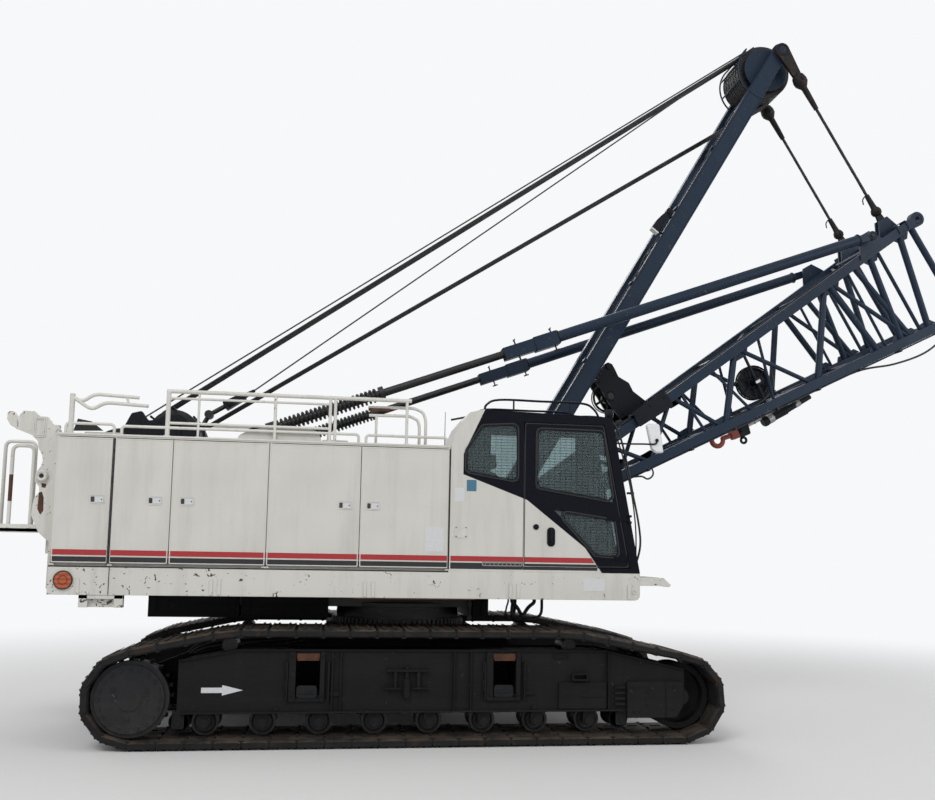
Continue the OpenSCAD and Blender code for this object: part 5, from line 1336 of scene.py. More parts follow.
# Lines that come down in front of the cab, held by clips
lines = Piece("cab_front_lines", "upper", "rubber")
lines.bend(((0.4, -0.8, 3.6), (0.75, -0.82, 3.665), (1.2, -0.84, 3.67), (1.75, -0.95, 3.668),
            (2.05, -1.1, 3.66), (2.22, -1.22, 3.6), (2.32, -1.26, 3.42), (2.4, -1.28, 3.1),
            (2.47, -1.28, 2.75), (2.54, -1.28, 2.4), (2.56, -1.27, 2.15), (2.52, -1.2, 1.9)), 0.012, 8)
lines.bend(((2.1, -1.16, 3.64), (2.24, -1.26, 3.5), (2.36, -1.31, 3.1), (2.44, -1.32, 2.75),
            (2.49, -1.32, 2.35), (2.505, -1.28, 1.95)), 0.008, 8)
for x, y, z in ((2.085, -1.12, 3.61), (2.3, -1.255, 3.4), (2.455, -1.28, 2.76)):
    lines.box(x - 0.05, x + 0.02, y - 0.03, y + 0.03, z - 0.012, z + 0.012)
lines.done(smooth=60)

# Mirror: tilted housing with a rounded back, and its arm
MIRROR = ((2.567, 3.53), (2.6, 3.556), (2.726, 3.553), (2.775, 3.231), (2.755, 3.219), (2.675, 3.219),
          (2.625, 3.266))
MIRROR_Y = -1.452
mir = Piece("mirror_housing", "upper", "mirror_white")
face = rounded(MIRROR, 0.025, 4)
deep = rounded(offset(MIRROR, -0.014), 0.022, 4)
n = len(face)
mir.add([at(x, y, z) for loop, y in ((face, MIRROR_Y + 0.02), (face, MIRROR_Y - 0.006),
        (deep, MIRROR_Y - 0.026)) for x, z in loop],
        [tuple(range(n)), tuple(range(3 * n - 1, 2 * n - 1, -1))] +
        [(r * n + k, r * n + (k + 1) % n, (r + 1) * n + (k + 1) % n, (r + 1) * n + k) for r in range(2)
         for k in range(n)])
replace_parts(mir.done(bevel=0.004, segments=2), "side_mirror")
ARM_Z = 3.316
arm = Piece("mirror_arm", "upper", "black")
arm.bend(((cab_front(ARM_Z) - 0.01, MIRROR_Y, ARM_Z), (2.36, MIRROR_Y, 3.312),
          (2.52, MIRROR_Y - 0.02, 3.314), (2.66, MIRROR_Y - 0.034, ARM_Z),
          (2.688, MIRROR_Y - 0.034, 3.35)), 0.01, 8, steps=5)
arm.disc(at(2.688, MIRROR_Y - 0.03, 3.36), 0.02, 0.018, 12)
arm.box(cab_front(ARM_Z) - 0.02, cab_front(ARM_Z) + 0.012, MIRROR_Y - 0.03, MIRROR_Y + 0.03, 3.276, 3.356)
arm.done(smooth=50)

# Bare label plates behind the door and on the house door beside the cab
LABELS = (("label_pale", "upper", "plate", 0.365, 0.47, 2.605, 2.755),
          ("label_blue", "upper", "blue", 0.497, 0.605, 2.72, 2.845),
          ("label_door", "side_door_right_5", "plate", 0.05, 0.25, 2.055, 2.322))
for name, body, material, x0, x1, z0, z1 in LABELS:
    p = Piece(name, body, material)
    p.prism(rect(x0, x1, z0, z1, 0.006, 2), CAB_Y - 0.0014, CAB_Y + 0.0005)
    p.done()


# Inside the cab
def cushion(name, x0, x1, y0, y1, z0, z1, tilt=0.0):
    """A crowned pad: a rounded block whose faces swell between its edges."""
    me = bpy.data.meshes.new(name)
    bm = bmesh.new()
    bmesh.ops.create_cube(bm, size=2.0)
    bmesh.ops.subdivide_edges(bm, edges=bm.edges, cuts=7, use_grid_fill=True)
    sx, sy, sz = (x1 - x0) / 2, (y1 - y0) / 2, (z1 - z0) / 2
    for v in bm.verts:
        x, y, z = v.co
        crown = (1 - x * x) * (1 - y * y)
        pull = 0.09 * (1 - z * z)
        edge = (abs(x) ** 6 + abs(y) ** 6) * 0.1
        channel = 0.06 * exp(-((abs(y) - 0.45) / 0.06) ** 2) * (1 if z > 0.5 else 0)
        v.co = Vector((x * (1 - 0.05 * edge * 4) * sx * (0.96 + pull * 0.4),
                       y * (1 - 0.05 * edge * 4) * sy * (0.96 + pull * 0.4),
                       z * sz * (0.84 + 0.16 * crown - edge * 0.5) - channel * sz))
    rot = Matrix.Rotation(tilt, 3, "Y")
    centre = at((x0 + x1) / 2, (y0 + y1) / 2, (z0 + z1) / 2)
    for v in bm.verts:
        v.co = rot @ v.co + centre
    bmesh.ops.recalc_face_normals(bm, faces=bm.faces)
    bm.to_mesh(me)
    bm.free()
    me.materials.append(M["seat"])
    for p in me.polygons:
        p.use_smooth = True
    o = bpy.data.objects.new(name, me)
    bpy.context.scene.collection.objects.link(o)
    s = o.modifiers.new("smooth", "SUBSURF")
    s.levels = s.render_levels = 1
    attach(o, "upper")


cushion("seat_cushion", 0.9, 1.39, -1.31, -0.85, 2.225, 2.345)
cushion("seat_back", 0.8, 0.93, -1.3, -0.86, 2.33, 2.98, -0.1)
cushion("head_rest", 0.79, 0.885, -1.19, -0.97, 3.0, 3.18, -0.1)
base = Piece("seat_base", "upper", "plastic")
base.prism(rounded(((0.91, 1.893), (1.37, 1.893), (1.35, 2.215), (0.93, 2.215)), 0.03, 3), -1.28, -0.88)
for y in (-1.43, -0.9):
    base.prism(rounded(((1.1, 1.893), (1.66, 1.893), (1.66, 2.36), (1.52, 2.47), (1.12, 2.47)), 0.05, 3),
               y, y + 0.14)
    base.prism(rect(0.86, 1.24, 2.52, 2.58, 0.028, 3), y + 0.035, y + 0.105)
base.prism(rounded(((2.06, 1.893), (2.22, 1.893), (2.2, 2.32), (2.08, 2.34)), 0.03, 3), -1.24, -0.9)
base.prism(rounded(((2.02, 2.32), (2.17, 2.36), (2.12, 2.6), (2.06, 2.6)), 0.02, 3), -1.17, -0.93)
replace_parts(base.done(bevel=0.008, segments=2), "cab_interior")
levers = Piece("control_levers", "upper", "black")
for x, y in ((1.5, -1.36), (1.58, -1.36), (1.5, -0.83), (1.58, -0.83)):
    levers.rod((x, y, 2.46), (x + 0.02, y, 2.6), 0.006, 8)
    levers.rod((x + 0.02, y, 2.59), (x + 0.028, y, 2.655), [0.013, 0.018], 10)
for y in (-1.17, -1.05, -0.97):
    levers.rod((1.9, y, 1.9), (1.97, y, 2.02), 0.008, 8)
    levers.box(1.9, 2.01, y - 0.035, y + 0.035, 2.015, 2.03)
levers.done(smooth=50)
screen = Piece("control_screen", "upper", "glass_dark")
screen.prism(((2.028, 2.345), (2.034, 2.345), (2.06, 2.585), (2.054, 2.585)), -1.15, -0.95)
screen.done(bevel=0.001, segments=1)

# Boom

BOOM_LEN, FOOT_H, TIP_H, FOOT_W, TIP_W = 6.2, 0.125, 0.7, 0.55, 0.7


def half_h(x):
    return FOOT_H + (TIP_H - FOOT_H) * x / BOOM_LEN


def half_w(x):
    return FOOT_W + (TIP_W - FOOT_W) * x / BOOM_LEN


def boom_node(x, s, t):
    """The middle of a chord at x, on the side s and at the top or bottom t."""
    return on_boom(x, s * half_w(x), t * half_h(x))


SIDE_LACING = ((1.0, 1.4), (2.05, 1.4), (2.05, 2.45), (3.09, 2.48), (3.13, 3.8), (4.6, 3.85), (4.65, 4.8),
               (4.68, 5.29), (5.36, 5.15), (5.89, 5.57))
THIN_LACING = ((2.18, 2.22), (2.68, 2.9), (3.46, 3.2), (4.97, 4.92))
lace = Piece("boom_thin_lacing", "boom", "slate")
for s in (-1, 1):
    for a, b in THIN_LACING:
        lace.tube([boom_node(a, s, 1), boom_node(b, s, -1)], 0.02, 8)
    lace.tube([boom_node(5.08, s, 1), boom_node(5.3, s, -1)], 0.036, 10)
    lace.tube([boom_node(5.49, s, 1), boom_node(5.46, s, -1)], 0.024, 8)
    # Gussets where the lacing meets the chords
    for a, b in SIDE_LACING:
        for x, t in ((a, 1), (b, -1)):
            y = s * half_w(x)
            h = half_h(x) * t
            d = -t
            g = [(x - 0.13, h + d * 0.055), (x + 0.13, h + d * 0.055), (x + 0.07, h + d * 0.13),
                 (x - 0.07, h + d * 0.13)]
            lace.prism(g, y - 0.006, y + 0.006, on_boom)
# Cross members seen through the section
for a in (1.4, 2.45, 3.8, 4.8):
    lace.tube([boom_node(a, -1, -1), boom_node(a, 1, -1)], 0.028, 8)
for a in (2.05, 3.1, 4.62):
    lace.tube([boom_node(a, -1, 1), boom_node(a, 1, 1)], 0.028, 8)
for a in (3.1, 4.62):
    lace.tube([boom_node(a, -1, 1), boom_node(a, 1, -1)], 0.024, 8)
lace.done(smooth=45)

# Connecting lugs: keeper rings and weld collars
lug = Piece("boom_lug_cheeks", "boom", "slate")
for s in (-1, 1):
    for t in (-1, 1):
        y, z = s * TIP_W, t * TIP_H
        for d in (-1, 1):
            lug.ring(on_boom(BOOM_LEN, y + d * 0.047, z), 0.06, 0.006, 28, 6)
        ring_plate(lug, rect(BOOM_LEN - 0.34, BOOM_LEN - 0.18, z - 0.068, z + 0.068, 0.01, 1),
                   rect(BOOM_LEN - 0.33, BOOM_LEN - 0.19, z - 0.058, z + 0.058, 0.01, 1),
                   y - 0.066, y + 0.066, on_boom)
# Foot: pin keepers and stiffeners
for s in (-1, 1):
    for d in (-1, 1):
        lug.ring(on_boom(0.0, s * 0.55 + d * 0.034, 0), 0.08, 0.01, 32, 6)
    for k in range(4):
        lug.prism([(0.16 + k * 0.14, -half_h(0.16 + k * 0.14) + 0.01),
                   (0.19 + k * 0.14, -half_h(0.19 + k * 0.14) + 0.01),
                   (0.19 + k * 0.14, half_h(0.19 + k * 0.14) - 0.01),
                   (0.16 + k * 0.14, half_h(0.16 + k * 0.14) - 0.01)], s * 0.55 - 0.036, s * 0.55 + 0.036,
                   on_boom)
lug.done(smooth=40)

# Hoses and cables tied along the lower right chord, sagging under it near the tip
runs = Piece("boom_lines", "boom", "rubber")


def under(x, dy, dz):
    return on_boom(x, -half_w(x) + dy, -half_h(x) + dz)


runs.bend(((0.5, 0.02, -0.075), (1.2, 0.015, -0.076), (2.0, 0.02, -0.075), (2.8, 0.012, -0.08),
           (3.6, 0.02, -0.078), (4.4, 0.02, -0.08), (4.9, 0.01, -0.2), (5.35, 0.01, -0.24),
           (5.75, 0.02, -0.16), (6.02, 0.03, -0.085)), 0.013, 8, under)
runs.bend(((0.5, -0.02, -0.073), (1.6, -0.02, -0.074), (2.6, -0.025, -0.073), (3.4, -0.02, -0.074),
           (4.3, -0.025, -0.073), (5.2, -0.02, -0.075), (6.0, -0.02, -0.073)), 0.01, 8, under)
runs.bend(((1.1, -0.6, -0.3), (1.2, -0.61, -0.35), (1.245, -0.62, -0.412), (1.31, -0.62, -0.415),
           (1.355, -0.61, -0.38), (1.37, -0.6, -0.31)), 0.011, 8, on_boom)
runs.bend(((1.25, -0.6, -0.3), (1.75, -0.6, -0.362), (2.25, -0.6, -0.402)), 0.012, 8, on_boom)
runs.bend(((2.2, 0.0, 0.074), (3.0, 0.01, 0.078), (3.3, 0.02, 0.2), (3.42, 0.06, 0.4)), 0.011, 8, under)
runs.bend(((0.35, -0.53, 0.22), (1.0, -half_w(1.0), half_h(1.0) + 0.075),
           (2.2, -half_w(2.2), half_h(2.2) + 0.075), (3.5, -half_w(3.5), half_h(3.5) + 0.075),
           (5.0, -half_w(5.0), half_h(5.0) + 0.075)), 0.01, 8, on_boom)
for k in range(9):
    x = 0.7 + k * 0.62
    runs.box(x - 0.012, x + 0.012, -half_w(x) - 0.066, -half_w(x) + 0.066, -half_h(x) - 0.092,
             -half_h(x) - 0.058, on_boom)
runs.done(smooth=55)
# Bright rod and dark cylinder of the pin puller, in line with the hook
HOOK_Y = 0.0
rod = Piece("chord_rod", "boom", "galv")
rod.rod((3.0, HOOK_Y, -0.553), (3.245, HOOK_Y, -0.571), 0.027, 14, on_boom)
rod.ring(on_boom(3.14, HOOK_Y, -0.563), 0.027, 0.009, 20, 6, axis=on_boom(1, 0, 0) - on_boom(0, 0, 0))
rod.rod((3.32, HOOK_Y, -0.638), (3.4, HOOK_Y, -0.64), 0.0635, 18, on_boom)
rod.rod((3.76, HOOK_Y, -0.655), (3.84, HOOK_Y, -0.657), 0.042, 14, on_boom)
rod.done(smooth=45)
cyl = Piece("chord_cylinder", "boom", "black")
cyl.rod((3.24, HOOK_Y, -0.63), (3.62, HOOK_Y, -0.648), 0.058, 20, on_boom)
cyl.rod((3.62, HOOK_Y, -0.648), (4.02, HOOK_Y, -0.662), [0.048, 0.031], 16, on_boom)
cyl.box(3.255, 3.3, HOOK_Y - 0.03, HOOK_Y + 0.03, -0.7, -0.545, on_boom)
for x in (3.3, 3.66, 3.96):
    cyl.tube([boom_node(x, -1, -1), boom_node(x, 1, -1)], 0.026, 12)
    cyl.box(x - 0.02, x + 0.02, HOOK_Y - 0.016, HOOK_Y + 0.016, -0.64, -half_h(x) - 0.01, on_boom)
cyl.done(bevel=0.003, segments=1, smooth=45)

# Cable reel: rims, spokes, hub and the wound cable
reel = Piece("reel_faces", "boom", "black")
REEL_X, REEL_Z = 3.15, -0.07
for y in (-0.544, -0.456):
    reel.ring(on_boom(REEL_X, y, REEL_Z), 0.21, 0.012, 44)
    reel.ring(on_boom(REEL_X, y, REEL_Z), 0.075, 0.01, 24)
    for a in turns(6, 0.3):
        reel.tube([about(REEL_X, REEL_Z, 0.07, a, y, on_boom),
                   about(REEL_X, REEL_Z, 0.205, a, y, on_boom)], 0.009, 6)
reel.disc(on_boom(REEL_X, -0.5, REEL_Z), 0.182, 0.01, 44)
reel.across(REEL_X, -0.65, -0.44, REEL_Z, 0.045, 16, on_boom)
reel.rod((REEL_X - 0.04, -0.6, -half_h(REEL_X) + 0.03), (REEL_X, -0.6, REEL_Z), 0.02, 8, on_boom)
reel.rod((REEL_X + 0.04, -0.6, half_h(REEL_X) - 0.03), (REEL_X, -0.6, REEL_Z), 0.02, 8, on_boom)
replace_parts(reel.done(smooth=45), "cable_reel")
wound = Piece("reel_cable", "boom", "rubber")
for j in range(5):
    wound.ring(on_boom(REEL_X, -0.532 + j * 0.016, REEL_Z), 0.192, 0.0095, 44, 6)
wound.done(smooth=60)
fleck = Piece("reel_plate", "boom", "plate")
fleck.prism(rect(REEL_X - 0.035, REEL_X + 0.03, REEL_Z - 0.02, REEL_Z + 0.012, 0.006, 2), -0.6525, -0.6495,
            on_boom)
fleck.done()

# Deflector: two plates, the sheave between them and the boss on their tip
DEFLECTOR = ((1.5, 0.34), (1.465, 0.6), (1.465, 0.78), (1.454, 0.889), (1.458, 0.949), (1.634, 1.061),
             (1.68, 1.088), (1.73, 1.085), (1.764, 1.04), (1.764, 0.969), (1.753, 0.86), (1.834, 0.722),
             (1.827, 0.6), (1.909, 0.409), (1.94, 0.34))
GUIDE_X, GUIDE_Z = 1.53, 0.69
de = Piece("deflector_plates", "boom", "black")
for s in (-1, 1):
    de.prism(rounded(DEFLECTOR, 0.02, 2), s * 0.12, s * 0.16, on_boom)
    de.ring(on_boom(GUIDE_X, s * 0.16, GUIDE_Z), 0.062, 0.008, 24, 6)
    for bx, bz in ((1.5, 0.92), (1.72, 0.9), (1.8, 0.62), (1.56, 0.42), (1.86, 0.42)):
        de.bolt(on_boom(bx, s * 0.16, bz), (0, s, 0), 0.014, 0.012)
de.across(1.71, -0.18, 0.18, 1.03, 0.04, 18, on_boom)
de.box(1.5, 1.98, -0.16, 0.16, 0.34, 0.37, on_boom)
for bx, bz in ((1.5, 0.96), (1.8, 0.64), (1.85, 0.48)):
    de.across(bx, -0.125, 0.125, bz, 0.016, 10, on_boom)
for x in (1.56, 1.9):
    de.across(x, -half_w(x), half_w(x), half_h(x) + 0.02, 0.04, 12, on_boom)
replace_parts(de.done(bevel=0.002, segments=1, smooth=40), "boom_deflector")
dsv = Piece("deflector_sheave", "boom", "grease")
for y in (-0.036, 0.036):
    dsv.ring(on_boom(GUIDE_X, y, GUIDE_Z), 0.197, 0.008, 40, 6)
dsv.ring(on_boom(GUIDE_X, 0.0, GUIDE_Z), 0.176, 0.014, 40, 8)
dsv.disc(on_boom(GUIDE_X, 0.0, GUIDE_Z), 0.078, 0.07, 24)
for a in turns(6):
    dsv.tube([about(GUIDE_X, GUIDE_Z, 0.07, a, 0.0, on_boom),
              about(GUIDE_X, GUIDE_Z, 0.18, a, 0.0, on_boom)], 0.016, 8)
dsv.across(GUIDE_X, -0.17, 0.17, GUIDE_Z, 0.045, 18, on_boom)
dsv.done(smooth=45)
# Guards wrapped round the top chords
GUARD = ((1.46, 0.19), (1.985, 0.205), (1.985, 0.405), (1.9, 0.425), (1.48, 0.39))
cg = Piece("chord_guards", "boom", "black")
for s in (-1, 1):
    cg.prism(rounded(GUARD, 0.02, 2), s * 0.53, s * 0.536, on_boom)
    cg.prism(rounded(GUARD, 0.02, 2), s * 0.694, s * 0.7, on_boom)
    for x, t in ((1.51, 0.386), (1.72, 0.4), (1.93, 0.4)):
        cg.box(x - 0.045, x + 0.045, s * 0.531, s * 0.699, t - 0.03, t - 0.01, on_boom)
        cg.bolt(on_boom(x, s * 0.7, t - 0.05), (0, s, 0), 0.013, 0.01)
cg.done(bevel=0.002, segments=1, smooth=40)

# Hook and its block, stowed under the cross tube between the lower chords
hk = Piece("hook_body", "boom", "hook")
mouth = [radians(5 - 285 * k / 30) for k in range(31)]
hk.tube([about(2.559, -0.521, 0.078, a, HOOK_Y, on_boom) for a in mouth],
        [0.028 + 0.005 * sin(pi * k / 30) - 0.01 * max(0, (k - 24) / 6) for k in range(31)], 14)
hk.rod((2.865, HOOK_Y, -0.579), (2.626, HOOK_Y, -0.535), [0.035, 0.031], 16, on_boom)
hk.prism(rounded(((2.745, -0.625), (2.853, -0.64), (2.86, -0.526), (2.75, -0.507)), 0.025, 3),
         HOOK_Y - 0.05, HOOK_Y + 0.05, on_boom)
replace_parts(hk.done(bevel=0.003, segments=1, smooth=50), "hook")
sh = Piece("hook_block", "boom", "black")
sh.prism(rounded(((2.854, -0.65), (2.99, -0.669), (3.022, -0.548), (3.005, -0.467), (2.875, -0.474)),
                 0.025, 3), HOOK_Y - 0.062, HOOK_Y + 0.062, on_boom)
sh.ring(on_boom(2.88, HOOK_Y, -0.7), 0.037, 0.018, 24)
sh.across(2.905, HOOK_Y - 0.08, HOOK_Y + 0.08, -0.568, 0.025, 14, on_boom)
sh.box(2.915, 2.985, HOOK_Y - 0.018, HOOK_Y + 0.018, -0.49, -half_h(2.95) + 0.01, on_boom)
sh.done(bevel=0.003, segments=1, smooth=45)

# Mast

ma = Piece("mast_fittings", "mast", "slate")
ML = 7.49
# Axis and radii of the sheaves in the mast's head
HEAD_X, HEAD_Z, COVER_R, GUARD_R, SHEAVE_R = 7.228, 0.032, 0.3, 0.385, 0.352
for s in (-1, 1):
    # Flanges proud of the web, and a doubling plate at the head
    for z in (-0.1, 0.1):
        ma.box(0.5, ML - 0.5, s * 0.428, s * 0.44, z - 0.008, z + 0.008, on_mast)
    ma.prism(rounded(((ML - 0.75, -0.095), (ML - 0.05, -0.105), (ML + 0.045, -0.02), (ML + 0.045, 0.09),
                      (ML - 0.75, 0.095)), 0.03, 3), s * 0.429, s * 0.438, on_mast)
    ma.ring(on_mast(0, s * 0.434, 0), 0.08, 0.012, 32)
    # Round cover outside the head's sheaves
    cover = [(HEAD_X + COVER_R * cos(a), HEAD_Z + COVER_R * sin(a)) for a in turns(40)]
    ma.prism(cover, s * 0.3, s * 0.312, on_mast)
# Rope guards round the rear of the sheaves
for a in (1.3, 1.9, 2.5, 3.1):
    ma.tube([about(HEAD_X, HEAD_Z, GUARD_R, a, -0.305, on_mast),
             about(HEAD_X, HEAD_Z, GUARD_R, a, 0.305, on_mast)], 0.012, 8)
for s in (-1, 1):
    ma.tube([about(HEAD_X, HEAD_Z, GUARD_R, a, s * 0.305, on_mast)
             for a in [1.3 + 1.8 * k / 16 for k in range(17)]], 0.012, 8)
for x in (1.6, 2.9, 5.2):
    ma.across(x, -0.31, 0.31, 0.0, 0.045, 12, on_mast)
for x0, x1 in ((1.6, 2.9), (2.9, 4.35), (4.45, 5.2)):
    ma.rod((x0, -0.3, 0.0), (x1, 0.3, 0.0), 0.028, 8, on_mast)
# Line guides on the front face
for x in (1.2, 2.4, 3.6, 4.8, 5.8):
    ma.box(x - 0.02, x + 0.02, -0.415, -0.315, 0.107, 0.135, on_mast)
ma.done(bevel=0.003, segments=1, smooth=40)
ml = Piece("mast_lines", "mast", "rubber")
ml.rod((0.8, -0.37, 0.121), (6.4, -0.37, 0.121), 0.009, 8, on_mast)
ml.bend(((3.7, -0.39, 0.112), (4.05, -0.39, 0.15), (4.3, -0.38, 0.112), (4.45, -0.38, 0.16)), 0.008, 8,
        on_mast)
ml.done(smooth=60)
lamp = Piece("mast_light", "mast", "plate")
lamp.prism(rounded(((4.346, 0.156), (4.36, 0.269), (4.382, 0.268), (4.368, 0.155)), 0.004, 1), -0.425,
           -0.335, on_mast)
lamp.done(bevel=0.002, segments=1)
lb = Piece("mast_light_housing", "mast", "black")
lb.prism(rounded(((4.366, 0.155), (4.38, 0.268), (4.501, 0.26), (4.6, 0.235), (4.666, 0.21), (4.64, 0.165),
                  (4.52, 0.17), (4.45, 0.158)), 0.012, 2), -0.43, -0.33, on_mast)
lb.across(4.7, -0.425, -0.335, 0.18, 0.038, 16, on_mast)
lb.prism(((4.372, 0.1), (4.392, 0.1), (4.5, 0.172), (4.47, 0.172)), -0.395, -0.365, on_mast)
lb.prism(((4.64, 0.1), (4.668, 0.1), (4.69, 0.185), (4.65, 0.185)), -0.395, -0.365, on_mast)
lb.done(bevel=0.003, segments=1, smooth=40)
ms = Piece("mast_sheave_discs", "mast_sheaves", "grease")
for k in range(-3, 4):
    for d in (-0.031, 0.031):
        ms.ring(on_mast(HEAD_X, k * 0.074 + d * 0.85, HEAD_Z), SHEAVE_R, 0.006, 44, 6)
ms.done(smooth=50)

# Pendants

HEAD = (MAST_FOOT[0] + ML * cos(MAST_ANGLE), MAST_FOOT[1] + ML * sin(MAST_ANGLE))
P_ANGLE = radians(-58.7)


def on_pendant(lx, y, lz):
    return along(HEAD, P_ANGLE, lx, y, lz)


# Socket pendants: link plates, bulged sockets, long swages and the rope between them
UPPER_END = ((0.38, 0.052), (0.41, 0.078), (0.47, 0.092), (0.52, 0.088), (0.56, 0.062), (0.59, 0.04),
             (0.78, 0.036), (0.918, 0.03))
LOWER_END = ((2.248, 0.03), (2.4, 0.036), (2.445, 0.04), (2.465, 0.058), (2.505, 0.07), (2.545, 0.06),
             (2.565, 0.03))
soc = Piece("pendant_sockets", "pendants", "pendant")
roped = Piece("pendant_ropes", "pendants", "rope")
PL = 2.701
PENDANT_Y = 0.47


def eye(lx, r, neck, end):
    """A round eye at lx with a straight neck towards end."""
    d = 1 if end > lx else -1
    turn = [radians(90 + 180 * k / 18) for k in range(19)]
    pts = [(lx + d * r * cos(a), r * sin(a)) for a in turn if abs(r * sin(a)) > neck or d * cos(a) < 0]
    return pts + [(end, -neck), (end, neck)]


for s in (-1, 1):
    y = s * PENDANT_Y
    for ends in (UPPER_END, LOWER_END):
        soc.tube([on_pendant(x, y, 0) for x, r in ends], [r for x, r in ends], 20)
    for d in (-1, 1):
        soc.prism(eye(0.0, 0.095, 0.055, 0.43), y + d * 0.006, y + d * 0.0215, on_pendant)
        soc.prism(eye(PL, 0.06, 0.032, 2.53), y + d * 0.006, y + d * 0.0215, on_pendant)
    for row in ((0.47, y - 0.105, y + 0.105, 0, 0.026, 14),
                (2.505, y - 0.082, y + 0.082, 0, 0.022, 14),
                (PL, y - 0.029, y + 0.029, 0, 0.032, 18)):
        soc.across(*row, on_pendant)
    soc.ring(on_pendant(0.0, y - 0.024, 0), 0.074, 0.007, 28, 6)
    soc.ring(on_pendant(0.0, y + 0.024, 0), 0.074, 0.007, 28, 6)
    # Safety pins hanging from the ends
    soc.bend(((2.25, y, -0.03), (2.28, y, -0.085), (2.34, y, -0.11)), 0.008, 6, on_pendant, steps=4)
    # Strands laid round the rope
    for a0 in turns(6):
        pts = []
        for k in range(91):
            t = k / 90
            a = a0 + 2 * pi * 7 * t
            pts.append(on_pendant(0.905 + 1.355 * t, y + 0.012 * cos(a), 0.012 * sin(a)))
        roped.tube(pts, 0.008, 5)
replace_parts(soc.done(smooth=50), "pendants")
roped.done(smooth=70)

# Backstops

BACKSTOP_Y = 0.862
EYE_X = 8.17
bs = Piece("backstop_springs", "backstop_rods", "grease")
br = Piece("backstop_sleeves", "backstop_tubes", "slate")
bt = Piece("backstop_collars", "backstop_tubes", "grease")
for s in (-1, 1):
    y = s * BACKSTOP_Y
    pts = []
    coils = 24
    for k in range(coils * 18 + 1):
        a = 2 * pi * k / 18
        pts.append(on_backstop(0.262 + 1.215 * k / (coils * 18), y + 0.07 * cos(a), 0.07 * sin(a)))
    bs.tube(pts, 0.014, 8)
    for row in (((0.14, y, 0), (0.262, y, 0), 0.08),
                ((1.49, y, 0), (1.545, y, 0), 0.082),
                ((0.25, y, 0), (3.72, y, 0), 0.047)):
        bs.rod(*row, 20, on_backstop)
    bs.prism([(-0.062 * cos(a), 0.062 * sin(a)) for a in [pi * (k / 12 - 0.5) for k in range(13)]]
             + [(0.16, 0.045), (0.16, -0.045)], y - 0.025, y + 0.025, on_backstop)
    # Channel, block and collar at the lower end, then the tube and its eye
    for d in (-1, 1):
        br.prism(rect(3.045, 3.455, -0.082, 0.066, 0.006, 1), y + d * 0.066, y + d * 0.074, on_backstop)
        br.box(3.045, 3.455, y - 0.074, y + 0.074, -0.008 + d * 0.066, -0.008 + d * 0.074, on_backstop)
    br.box(3.44, 3.74, y - 0.084, y + 0.084, -0.094, 0.076, on_backstop)
    br.rod((3.735, y, 0), (7.98, y, 0), 0.068, 28, on_backstop)
    br.prism(rect(7.93, 8.12, -0.05, 0.05, 0.006, 1), y - 0.025, y + 0.025, on_backstop)
    br.across(EYE_X, y - 0.025, y + 0.025, 0, 0.06, 28, on_backstop)
    br.across(EYE_X, y - s * 0.128, y + s * 0.04, 0, 0.03, 18, on_backstop)
    for x in (3.225, 3.69):
        bt.rod((x, y, 0.06), (x, y, 0.125), 0.01, 10, on_backstop)
        bt.across(x, y - 0.04, y + 0.04, 0.125, 0.009, 8, on_backstop)
        bt.rod((x, y, -0.145), (x, y, -0.085), 0.01, 10, on_backstop)
        bt.rod((x - 0.035, y, -0.145), (x + 0.035, y, -0.145), 0.009, 8, on_backstop)
    axis = on_backstop(1, y, 0) - on_backstop(0, y, 0)
    for x, r in ((3.76, 0.074), (3.052, 0.05), (7.96, 0.07)):
        bt.ring(on_backstop(x, y, 0), r, 0.01, 28, 8, axis=axis)
    for d in (-0.026, 0.026):
        bt.ring(on_backstop(EYE_X, y + d, 0), 0.048, 0.008, 24, 6)
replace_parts(bs.done(smooth=50), "backstop_rods")
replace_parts(br.done(bevel=0.003, segments=1), "backstop_tubes")
bt.done(smooth=50)

# Gantry and ropes

# Axis of the gantry's sheaves
LUFF_X, LUFF_Z = -2.8, 3.35
# Side plates of the luffing gantry, with the cross boxes and the backstops' brackets
GANTRY = ((-3.05, DECK_TOP), (-3.125, 2.9), (-3.3, 3.23), (-3.33, 3.39), (-3.25, 3.56), (-3.137, 3.59),
          (-3.06, 3.48), (-2.96, 3.5), (-2.86, 3.56), (-2.7, 3.56), (-2.58, 3.45), (-2.49, 3.41),
          (-2.35, DECK_TOP))
LUG = ((-2.03, 3.222), (-1.92, 3.39), (-1.85, 3.43), (-1.78, 3.39), (-1.7, 3.222))
gp = Piece("gantry_plates", "upper", "black", "boom_paint")
for s in (-1, 1):
    gp.prism(rounded(GANTRY, 0.03, 3), s * 0.5997, s * 0.6397)
    gp.box(-2.09, -1.67, s * 0.752, s * 0.972, 3.2123, 3.236)
    for a, b in ((0.805, 0.831), (0.893, 0.919)):
        gp.prism(rounded(LUG, 0.02, 2), s * a, s * b)
    gp.across(-1.85, s * 0.782, s * 0.942, 3.34, 0.026, 18)
    gp.across(-1.85, s * 0.926, s * 0.938, 3.34, 0.042, 18)
    # Doubling round the sheaves' shaft and the pin of the lower corner
    gp.across(LUFF_X, s * 0.636, s * 0.662, LUFF_Z, 0.105, 28)
    gp.across(LUFF_X, s * 0.662, s * 0.676, LUFF_Z, 0.06, 24)
    gp.across(-3.19, s * 0.59, s * 0.664, 3.44, 0.045, 20)
    for x, z in ((-2.935, 3.23), (-2.665, 3.23), (-2.935, 3.47), (-2.665, 3.47)):
        gp.bolt(at(x, s * 0.6397, z), (0, s, 0), 0.016, 0.013)
gp.box(-2.99, -2.83, -0.63, 0.63, 2.56, 2.68)
gp.box(-2.62, -2.5, -0.63, 0.63, 2.56, 2.68)
